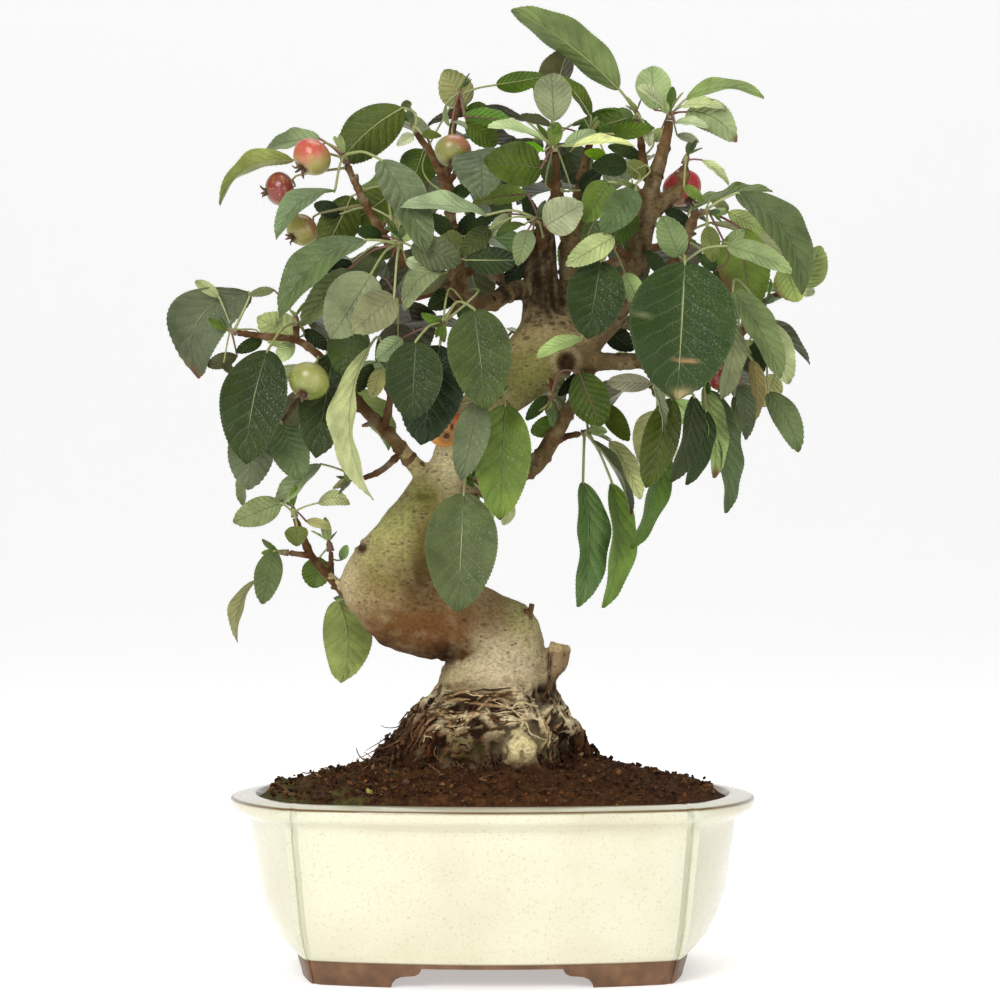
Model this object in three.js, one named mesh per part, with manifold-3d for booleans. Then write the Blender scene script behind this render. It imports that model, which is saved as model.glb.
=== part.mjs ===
// Crabapple bonsai in a glazed pot. Millimetres, +Z up, front towards -Y.
// The origin is on the ground under the middle of the pot.
import * as THREE from "three";
import { mergeVertices } from "three/addons/utils/BufferGeometryUtils.js";
import Module from "manifold-3d";

const wasm = await Module();
wasm.setup();

// ---------------------------------------------------------------- driving dimensions
const GAP = 0.3; // left between pieces that touch

const POT = {
  rim: { halfWidth: 106.7, halfDepth: 80, groove: [79, 66], top: 72, edge: 70, under: 66.5 },
  body: [
    // height, half width, half depth, and where the corner groove lies
    { z: 9.3, halfWidth: 81, halfDepth: 65.5, groove: [73.5, 52] },
    { z: 16.4, halfWidth: 87.5, halfDepth: 67.5, groove: [75, 54.5] },
    { z: 34, halfWidth: 94.9, halfDepth: 70, groove: [77, 57] },
    { z: 59, halfWidth: 97.8, halfDepth: 72, groove: [79, 59.5] },
  ],
  wall: 6,
  floor: 16,
  grooveDepth: 3,
  drain: { radius: 7.5, x: 38 },
};
const FOOT = { height: 9.3, ring: 1.5, inset: 1.2, batter: 2.2, width: 12, toe: 39.5, heel: 27.6 };
const SCREEN = { size: 25, thick: 0.8, hole: 8, holes: 2 };
const SOIL = { edge: 66.5, rise: 24, spreadX: 58, spreadY: 44, under: 1.4 };
const LEAF = {
  thick: 0.7,
  stalk: 0.5,
  straight: 18, // longest stalk without an elbow
  plain: 25, // longest blade drawn with the fewer cross rows
  slimmest: 0.36, // least width over length: what looks slimmer is turned on edge
  fold: 0.16, // rise of the halves to either side of the rib
  arch: 0.07,
  wave: 0.5,
};
const BUD = { length: 4.6, radius: 1.6, tip: 1.1 };

// The plant is laid out on a front elevation ruled in squares: u runs across and v down from the top
// left corner, and depth is in mm behind the middle of the pot. Squares widen with their distance
// from the eye, as they look to someone who sits in front of the tree.
const SQUARE = 0.408;
const EYE = { x: 3, z: 190.3, distance: 1330, u: 500, v: 500 };

function at(u, v, depth) {
  const scale = (SQUARE * (EYE.distance + depth)) / EYE.distance;
  return new THREE.Vector3(EYE.x + (u - EYE.u) * scale, depth, EYE.z - (v - EYE.v) * scale);
}

// ---------------------------------------------------------------- solids and meshes
function solid(geometry) {
  const bare = geometry.index ? geometry.toNonIndexed() : geometry.clone();
  bare.deleteAttribute("normal");
  bare.deleteAttribute("uv");
  const merged = mergeVertices(bare, 1e-4);
  const vertProperties = merged.attributes.position.array;
  const triVerts = new Uint32Array(merged.index.array);
  return new wasm.Manifold(new wasm.Mesh({ numProp: 3, vertProperties, triVerts }));
}

const join = (solids) => solids.reduce((whole, next) => whole.add(next));

function fromTriangles(points, faces) {
  return new THREE.BufferGeometry().setFromPoints(points).setIndex(faces);
}

const group = new THREE.Group();

function addMesh(name, shape, color, roughness = 0.7) {
  const made = shape.getMesh();
  const geometry = new THREE.BufferGeometry();
  geometry.setAttribute("position", new THREE.BufferAttribute(made.vertProperties, 3));
  geometry.setIndex(new THREE.BufferAttribute(made.triVerts, 1));
  geometry.computeVertexNormals();
  const material = new THREE.MeshStandardMaterial({ color, roughness, metalness: 0 });
  const mesh = new THREE.Mesh(geometry, material);
  mesh.name = name;
  group.add(mesh);
}

// Skins a row of rings, each counter-clockwise round the way the row runs, and closes both ends.
function loft(rings) {
  const sides = rings[0].length;
  const points = rings.flat();
  const faces = [];
  for (let k = 0; k + 1 < rings.length; k++) {
    for (let i = 0; i < sides; i++) {
      const [a, b] = [k * sides + i, k * sides + ((i + 1) % sides)];
      faces.push(a, b, b + sides, a, b + sides, a + sides);
    }
  }
  const middle = (ring) => {
    return ring.reduce((sum, p) => sum.add(p), new THREE.Vector3()).divideScalar(sides);
  };
  const first = points.push(middle(rings[0])) - 1;
  const last = points.push(middle(rings.at(-1))) - 1;
  const end = (rings.length - 1) * sides;
  for (let i = 0; i < sides; i++) {
    const j = (i + 1) % sides;
    faces.push(first, j, i, last, end + i, end + j);
  }
  return fromTriangles(points, faces);
}

// ---------------------------------------------------------------- pot
// One level of the pot in plan: a long curved lobe front and back, a short one at each side, and a
// groove where they meet. Counter-clockwise from the front right groove.
function lobedRing({ halfWidth, halfDepth, groove, z }, inset = 0, notch = POT.grooveDepth) {
  const [gx, gy] = [groove[0] - inset * 0.8, groove[1] - inset * 0.8];
  const arc = (half, reach, rise, count) => {
    const radius = (half * half + rise * rise) / (2 * rise);
    const spread = Math.asin(half / radius);
    return Array.from({ length: count + 1 }, (_, i) => {
      const angle = spread * 0.94 * ((2 * i) / count - 1);
      return [radius * Math.sin(angle), reach - radius + radius * Math.cos(angle)];
    });
  };
  const long = arc(gx, halfDepth - inset, halfDepth - inset - gy, 6);
  const short = arc(gy, halfWidth - inset, halfWidth - inset - gx, 4);
  const dent = [gx - notch * 0.4, gy - notch];
  const outline = [
    [dent[0], -dent[1]],
    ...short.map(([s, r]) => [r, s]),
    dent,
    ...long.map(([s, r]) => [-s, r]),
    [-dent[0], dent[1]],
    ...short.map(([s, r]) => [-r, -s]),
    [-dent[0], -dent[1]],
    ...long.map(([s, r]) => [s, -r]),
  ];
  return outline.map(([x, y]) => new THREE.Vector3(x, y, z));
}

// The opening between two feet, with its stepped cloud-shaped sides, as a bar that cuts through.
function arch(toe, heel, reach) {
  const shape = new THREE.Shape();
  shape.moveTo(-toe, -1);
  shape.lineTo(-toe, 0);
  shape.quadraticCurveTo(-toe + 1.5, 4, -(toe + heel) / 2, 4.6);
  shape.quadraticCurveTo(-heel - 2, 5, -heel, FOOT.height - FOOT.ring);
  shape.lineTo(heel, FOOT.height - FOOT.ring);
  shape.quadraticCurveTo(heel + 2, 5, (toe + heel) / 2, 4.6);
  shape.quadraticCurveTo(toe - 1.5, 4, toe, 0);
  shape.lineTo(toe, -1);
  const options = { depth: 2 * reach, bevelEnabled: false, curveSegments: 3 };
  return new THREE.ExtrudeGeometry(shape, options).translate(0, 0, -reach).rotateX(Math.PI / 2);
}

function footRing() {
  const ring = (z, inset) => lobedRing({ ...POT.body[0], z }, inset, 1.5);
  const outer = loft([ring(0, FOOT.inset + FOOT.batter), ring(FOOT.height + 1, FOOT.inset)]);
  const inner = loft([ring(-1, FOOT.width), ring(FOOT.height - 0.4, FOOT.width)]);
  const between = solid(arch(FOOT.toe, FOOT.heel, 90));
  const sideways = solid(arch(FOOT.toe * 0.66, FOOT.heel * 0.6, 100).rotateZ(Math.PI / 2));
  return solid(outer).subtract(solid(inner)).subtract(between).subtract(sideways);
}

// The hollow inside the walls, or with a clearance the soil that fills it, closed by the rings on top.
function hollow(floor, clearance, tops) {
  const [, low, , high] = POT.body;
  const inset = POT.wall + clearance;
  return loft([lobedRing({ ...low, z: floor }, inset), lobedRing({ ...high, z: 60 }, inset), ...tops]);
}

function pot() {
  const { rim, body } = POT;
  const rimAt = (z, inset) => lobedRing({ ...rim, z }, inset, 2.4);
  const high = body.at(-1);
  const lip = lobedRing({ ...high, z: rim.top }, 2);
  const levels = body.map((level) => lobedRing(level));
  const outside = loft([...levels, rimAt(rim.under, 2), rimAt(rim.edge, 0), lip]);
  const mouth = [lip, lobedRing({ ...high, z: rim.top + 8 }, 1)];
  const { x, radius } = POT.drain;
  const drains = [-x, x].map((place) => {
    const hole = new THREE.CylinderGeometry(radius, radius, 2 * POT.floor, 10).rotateX(Math.PI / 2);
    return solid(hole.translate(place, 0, POT.floor / 2));
  });
  const inside = solid(hollow(POT.floor, 0, mouth));
  const walls = solid(outside).subtract(inside).add(footRing());
  return drains.reduce((whole, hole) => whole.subtract(hole), walls);
}
addMesh("pot", pot(), 0xf4efd8, 0.25);

// A square of plastic mesh lies over each drain hole and keeps the soil in.
function drainScreen(x) {
  const block = (side, height) => new THREE.BoxGeometry(side, side, height);
  const pitch = SCREEN.size / SCREEN.holes;
  const places = [-pitch / 2, pitch / 2];
  const holes = places.flatMap((cx) => places.map((cy) => block(SCREEN.hole, 3).translate(cx, cy, 0)));
  const sheet = solid(block(SCREEN.size, SCREEN.thick));
  const plate = holes.reduce((left, hole) => left.subtract(solid(hole)), sheet);
  return plate.translate([x, 0, POT.floor + GAP + SCREEN.thick / 2]);
}
addMesh("drain_screen_left", drainScreen(-POT.drain.x), 0x2c2e30, 0.6);
addMesh("drain_screen_right", drainScreen(POT.drain.x), 0x2c2e30, 0.6);

// ---------------------------------------------------------------- wood
// A round limb along points { at, r }.
function limb(points, sides) {
  const ways = points.map((_, k) => {
    const before = points[Math.max(k - 1, 0)].at;
    const after = points[Math.min(k + 1, points.length - 1)].at;
    return after.clone().sub(before).normalize();
  });
  let side = new THREE.Vector3(1, 0, 0);
  if (Math.abs(side.dot(ways[0])) > 0.8) side.set(0, 1, 0);
  const rings = points.map(({ at: place, r }, k) => {
    side = side.clone().addScaledVector(ways[k], -side.dot(ways[k])).normalize();
    const up = ways[k].clone().cross(side);
    return Array.from({ length: sides }, (_, i) => {
      const angle = (2 * Math.PI * i) / sides;
      const corner = place.clone().addScaledVector(side, r * Math.cos(angle));
      return corner.addScaledVector(up, r * Math.sin(angle));
    });
  });
  return solid(loft(rings));
}

// The root flare stands in the soil: buried stump, spreading roots with ridges between them, neck.
// Level by level: height, middle, half width, half depth, and how far the root ridges stand out.
const FLARE = [
  { z: 46, x: -1, r: 24, deep: 20.5, ridge: 0.02 },
  { z: 66, x: -3, r: 39, deep: 32, ridge: 0.05 },
  { z: 79, x: -4, r: 46, deep: 38, ridge: 0.08 },
  { z: 86, x: -4, r: 44, deep: 36.5, ridge: 0.09 },
  { z: 97, x: -2.5, r: 38, deep: 32, ridge: 0.09 },
  { z: 108, x: -1, r: 30, deep: 27, ridge: 0.07 },
  { z: 120, x: 1.5, r: 23, deep: 22.5, ridge: 0.03 },
  { z: 132, x: 3, r: 17, deep: 17, ridge: 0.01 },
];
function flare(grown = 0) {
  const sides = 15;
  const ring = ({ z, x, r, deep, ridge }, k) =>
    Array.from({ length: sides }, (_, i) => {
      const angle = (2 * Math.PI * i) / sides;
      const swell = 1 + ridge * (Math.sin(5 * angle + 0.6) + 0.6 * Math.sin(8 * angle + 2));
      const across = (r + grown) * swell * Math.cos(angle);
      const back = (deep + grown) * swell * Math.sin(angle);
      return new THREE.Vector3(x + across, back - 1, k ? z : z - grown);
    });
  return solid(loft(FLARE.map(ring)));
}

// Trunk and limbs: squares across, squares down, depth and radius, from the thick end.
const TRUNK = [
  [[500, 655, -2, 19], [498, 638, -4, 18], [488, 626, -6, 16.4], [468, 621, -8, 16], [450, 621, -10, 17.4]],
  [[478, 622, -8, 15.5], [450, 619, -10, 17], [422, 606, -12, 19.4], [398, 596, -12, 20.4],
   [380, 590, -12, 17.4], [362, 583, -11, 10]],
  [[388, 604, -12, 15.5], [386, 586, -12, 19], [396, 560, -11, 16.6], [406, 537, -10, 14.4],
   [421, 513, -8, 12], [433, 494, -6, 10.6], [450, 470, -3, 9], [460, 440, -2, 8.4],
   [478, 412, -1, 8.8], [506, 392, 0, 9.4],
   [528, 368, 0, 13], [545, 348, 0, 14.4], [556, 330, 1, 12], [560, 316, 2, 7]],
];
const LIMBS = {
  leader: [[540, 345, 2, 9], [541, 290, 3, 7.3], [540, 255, 4, 6.9], [540, 231, 2, 6]],
  light: [[570, 335, 6, 6], [569, 280, 10, 4.6], [570, 245, 11, 4.4], [580, 200, 10, 3.3],
    [585, 165, 7, 2.2], [590, 143, 4, 1.5]],
  right: [[575, 352, -2, 7.5], [592, 338, -4, 6], [615, 312, -6, 5.3], [632, 275, -10, 4.9],
    [640, 240, -12, 5.2], [646, 210, -12, 5]],
  rightForkLeft: [[645, 214, -12, 4.2], [652, 186, -12, 3.6], [661, 158, -11, 3],
    [667, 135, -10, 2.3], [669, 121, -10, 1.7]],
  rightForkRight: [[643, 216, -12, 4.2], [662, 204, -12, 3.6], [678, 190, -13, 2.9],
    [684, 178, -14, 2.4], [684, 166, -14, 1.8]],
  rightInner: [[622, 300, -7, 3.7], [655, 288, -8, 3.4], [675, 262, -12, 3], [688, 232, -18, 2.5],
    [696, 212, -22, 1.7]],
  rightLow: [[575, 362, -4, 4.4], [600, 362, -6, 3.8], [640, 361, -8, 3.3], [690, 357, -8, 2.8],
    [735, 338, -7, 2.2], [757, 312, -4, 1.4]],
  left: [[535, 290, 2, 4.4], [512, 291, -5, 4.1], [490, 303, -12, 3.7], [462, 298, -20, 3.2],
    [449, 281, -27, 2.6], [455, 266, -30, 1.6]],
  leftOuter: [[452, 284, -26, 2.7], [425, 270, -32, 2.8], [405, 260, -37, 2.3], [399, 250, -40, 1.5]],
  lowLeft: [[438, 486, -5, 4.6], [412, 462, -9, 3.5], [395, 441, -11, 3.1], [380, 425, -12, 2.9],
    [366, 411, -13, 2.7],
            [350, 392, -14, 2.3], [330, 368, -15, 2],
            [316, 353, -14, 1.8], [296, 340, -12, 1.7], [262, 336, -10, 1.5], [238, 333, -8, 1.3]],
  lowRight: [[450, 480, -5, 5], [478, 487, -8, 4.4], [505, 478, -10, 4.1], [534, 466, -9, 4],
    [552, 440, -7, 3.7],
             [568, 412, -7, 3.2], [580, 392, -6, 2.8], [592, 368, -5, 2.4]],
  lowShoot: [[358, 602, -7, 3], [340, 588, -7, 2.2], [325, 572, -8, 1.9], [312, 557, -9, 1.8],
    [304, 540, -10, 1.6], [295, 518, -10, 1.2]],
  backLeft: [[541, 300, 6, 4.4], [510, 285, 18, 3.4], [480, 262, 27, 2.7], [455, 240, 34, 1.4]],
  backRight: [[570, 290, 12, 4], [590, 270, 24, 3.1], [600, 245, 32, 2.4], [605, 215, 37, 1.4]],
  backRightOuter: [[610, 318, -4, 3.6], [640, 325, 12, 2.8], [675, 328, 24, 2.1], [700, 326, 30, 1.4]],
  backMiddle: [[548, 350, 8, 4], [535, 362, 24, 2.6], [515, 362, 33, 1.9], [500, 352, 38, 1.4]],
};
// Thin side shoots, each from the middle of its limb to where its spray of leaves sits.
const TWIGS = {
  top_left_tip: [[405, 260, -37, 2.2], [386, 240, -32, 2], [364, 201, -25, 1.8], [347, 165, -18, 1.4]],
  left_twig_mid: [[382, 233, -31, 1.5], [389, 229, -35, 1.2]],
  front_left: [[464, 299, -20, 2], [452, 312, -34, 1.6], [445, 322, -46, 1.3]],
  top_bud: [[464, 299, -19, 2.9], [458, 262, -16, 2.6], [452, 225, -8, 2.4], [449, 200, -2, 2.3],
    [447, 165, 3, 2],
            [452, 132, 8, 1.7], [459, 100, 12, 1.2]],
  top_left_twig: [[450, 202, -2, 2.1], [437, 165, 2, 1.8], [417, 134, 5, 1.3]],
  top_left_inner: [[448, 184, 1, 1.6], [455, 174, -4, 1.2]],
  top_centre: [[541, 246, 0, 3], [548, 212, -8, 2.4], [556, 190, -16, 2], [555, 153, -25, 1.3]],
  centre_front: [[543, 246, -2, 2.4], [540, 230, -15, 1.8], [538, 221, -24, 1.4]],
  top_right_twig: [[652, 190, -11, 2.3], [643, 160, -3, 1.8], [640, 123, 4, 1.3]],
  right_hang: [[678, 256, -13, 2], [682, 254, -26, 1.7], [683, 253, -40, 1.3]],
  mid_spur: [[633, 262, -11, 2.2], [622, 252, -19, 1.6], [614, 247, -26, 1.2]],
  fork_front: [[650, 196, -12, 1.8], [643, 193, -17, 1.5], [637, 190, -21, 1.2]],
  right_far: [[735, 337, -7, 1.8], [762, 304, 7, 1.5], [784, 292, 0, 1.2]],
  right_low_mid: [[735, 338, -7, 1.6], [737, 342, -13, 1.2]],
  right_low_inner: [[702, 352, -8, 1.7], [702, 366, -11, 1.2]],
  right_low_front: [[662, 359, -8, 1.7], [665, 372, -12, 1.2]],
  left_low_side: [[297, 341, -12, 1.6], [296, 326, -14, 1.2]],
  left_low_mid: [[333, 371, -15, 1.7], [342, 352, -18, 1.2]],
  left_low_fork: [[384, 429, -12, 1.9], [390, 400, -17, 1.6], [390, 378, -22, 1.2]],
  left_low_hang: [[331, 369, -15, 1.7], [305, 392, -12, 1.5], [286, 418, -10, 1.2]],
  left_low_twig: [[402, 452, -10, 1.7], [382, 470, -9, 1.4], [364, 478, -8, 1.2]],
  low_right_spur: [[553, 440, -7, 2], [568, 436, 0, 1.5], [579, 434, 5, 1.2]],
  burl_under: [[548, 372, -5, 2], [551, 392, -12, 1.2]],
  trunk_front_low: [[462, 474, -3, 2], [467, 478, -14, 1.2]],
  trunk_front_high: [[498, 396, -3, 2], [500, 393, -16, 1.2]],
  low_shoot_side: [[312, 556, -9, 1.6], [290, 553, -12, 1.1]],
  low_shoot_inner: [[331, 578, -7, 1.6], [331, 553, 2, 1.1]],
  bend_back: [[372, 598, -2, 2.2], [352, 600, 22, 1.2]],
  back_left_low: [[482, 263, 26, 2.2], [440, 290, 31, 1.8], [405, 300, 32, 1.3]],
  back_left_top: [[497, 275, 22, 2.2], [470, 215, 26, 1.8], [436, 168, 24, 1.3]],
  back_right_high: [[588, 272, 23, 2.4], [635, 255, 27, 2], [675, 240, 28, 1.3]],
  back_top: [[571, 262, 11, 2.2], [560, 195, 22, 1.8], [550, 150, 25, 1.3]],
  back_right_low: [[638, 325, 12, 2], [650, 365, 26, 1.7], [655, 395, 32, 1.2]],
  back_left_far: [[368, 413, -12, 2], [340, 395, 10, 1.8], [325, 375, 22, 1.2]],
};

const limbPoints = (rows) => rows.map(([u, v, depth, r]) => ({ at: at(u, v, depth), r }));

function wood() {
  const trunk = TRUNK.map((rows) => limb(limbPoints(rows), 10));
  const limbs = Object.values(LIMBS).map((rows) => limb(limbPoints(rows), 4));
  const twigs = Object.values(TWIGS).map((rows) => limb(limbPoints(rows), 3));
  // The stub of a sawn-off limb at the right of the neck, and a rounded root knob at the front.
  const stub = limb(limbPoints([[528, 664, -3, 11], [549, 662, -3, 10], [561, 668, -3, 7.5]]), 8);
  const knob = new THREE.IcosahedronGeometry(8.5, 1).scale(1, 0.9, 0.85).translate(11, -29, 93.5);
  const whole = join([flare(), ...trunk, ...limbs, ...twigs, stub, solid(knob)]);
  // A hollow that limbs enclose where they meet is filled with wood.
  return join(whole.decompose().filter((shell) => shell.volume() > 0));
}
addMesh("trunk_and_branches", wood(), 0xa8957a, 0.85);

// ---------------------------------------------------------------- soil
function soil() {
  const height = (x, y) => {
    const slope = Math.exp(-(x * x) / (2 * SOIL.spreadX ** 2) - (y * y) / (2 * SOIL.spreadY ** 2));
    const lumps = 0.7 * Math.sin(0.21 * x + 1) * Math.cos(0.17 * y) + 0.5 * Math.sin(0.4 * x - 0.3 * y);
    return SOIL.edge + SOIL.rise * slope + lumps;
  };
  const clearance = GAP + 0.15;
  const brim = lobedRing({ ...POT.body.at(-1), z: SOIL.edge }, POT.wall + clearance);
  const levels = [1, 0.78, 0.48].map((share) =>
    brim.map((p) => new THREE.Vector3(p.x * share, p.y * share, height(p.x * share, p.y * share))),
  );
  const mound = hollow(POT.floor + SOIL.under, clearance, levels);
  return solid(mound).subtract(flare(0.45));
}
addMesh("soil", soil(), 0x3a2a22, 0.95);

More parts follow.
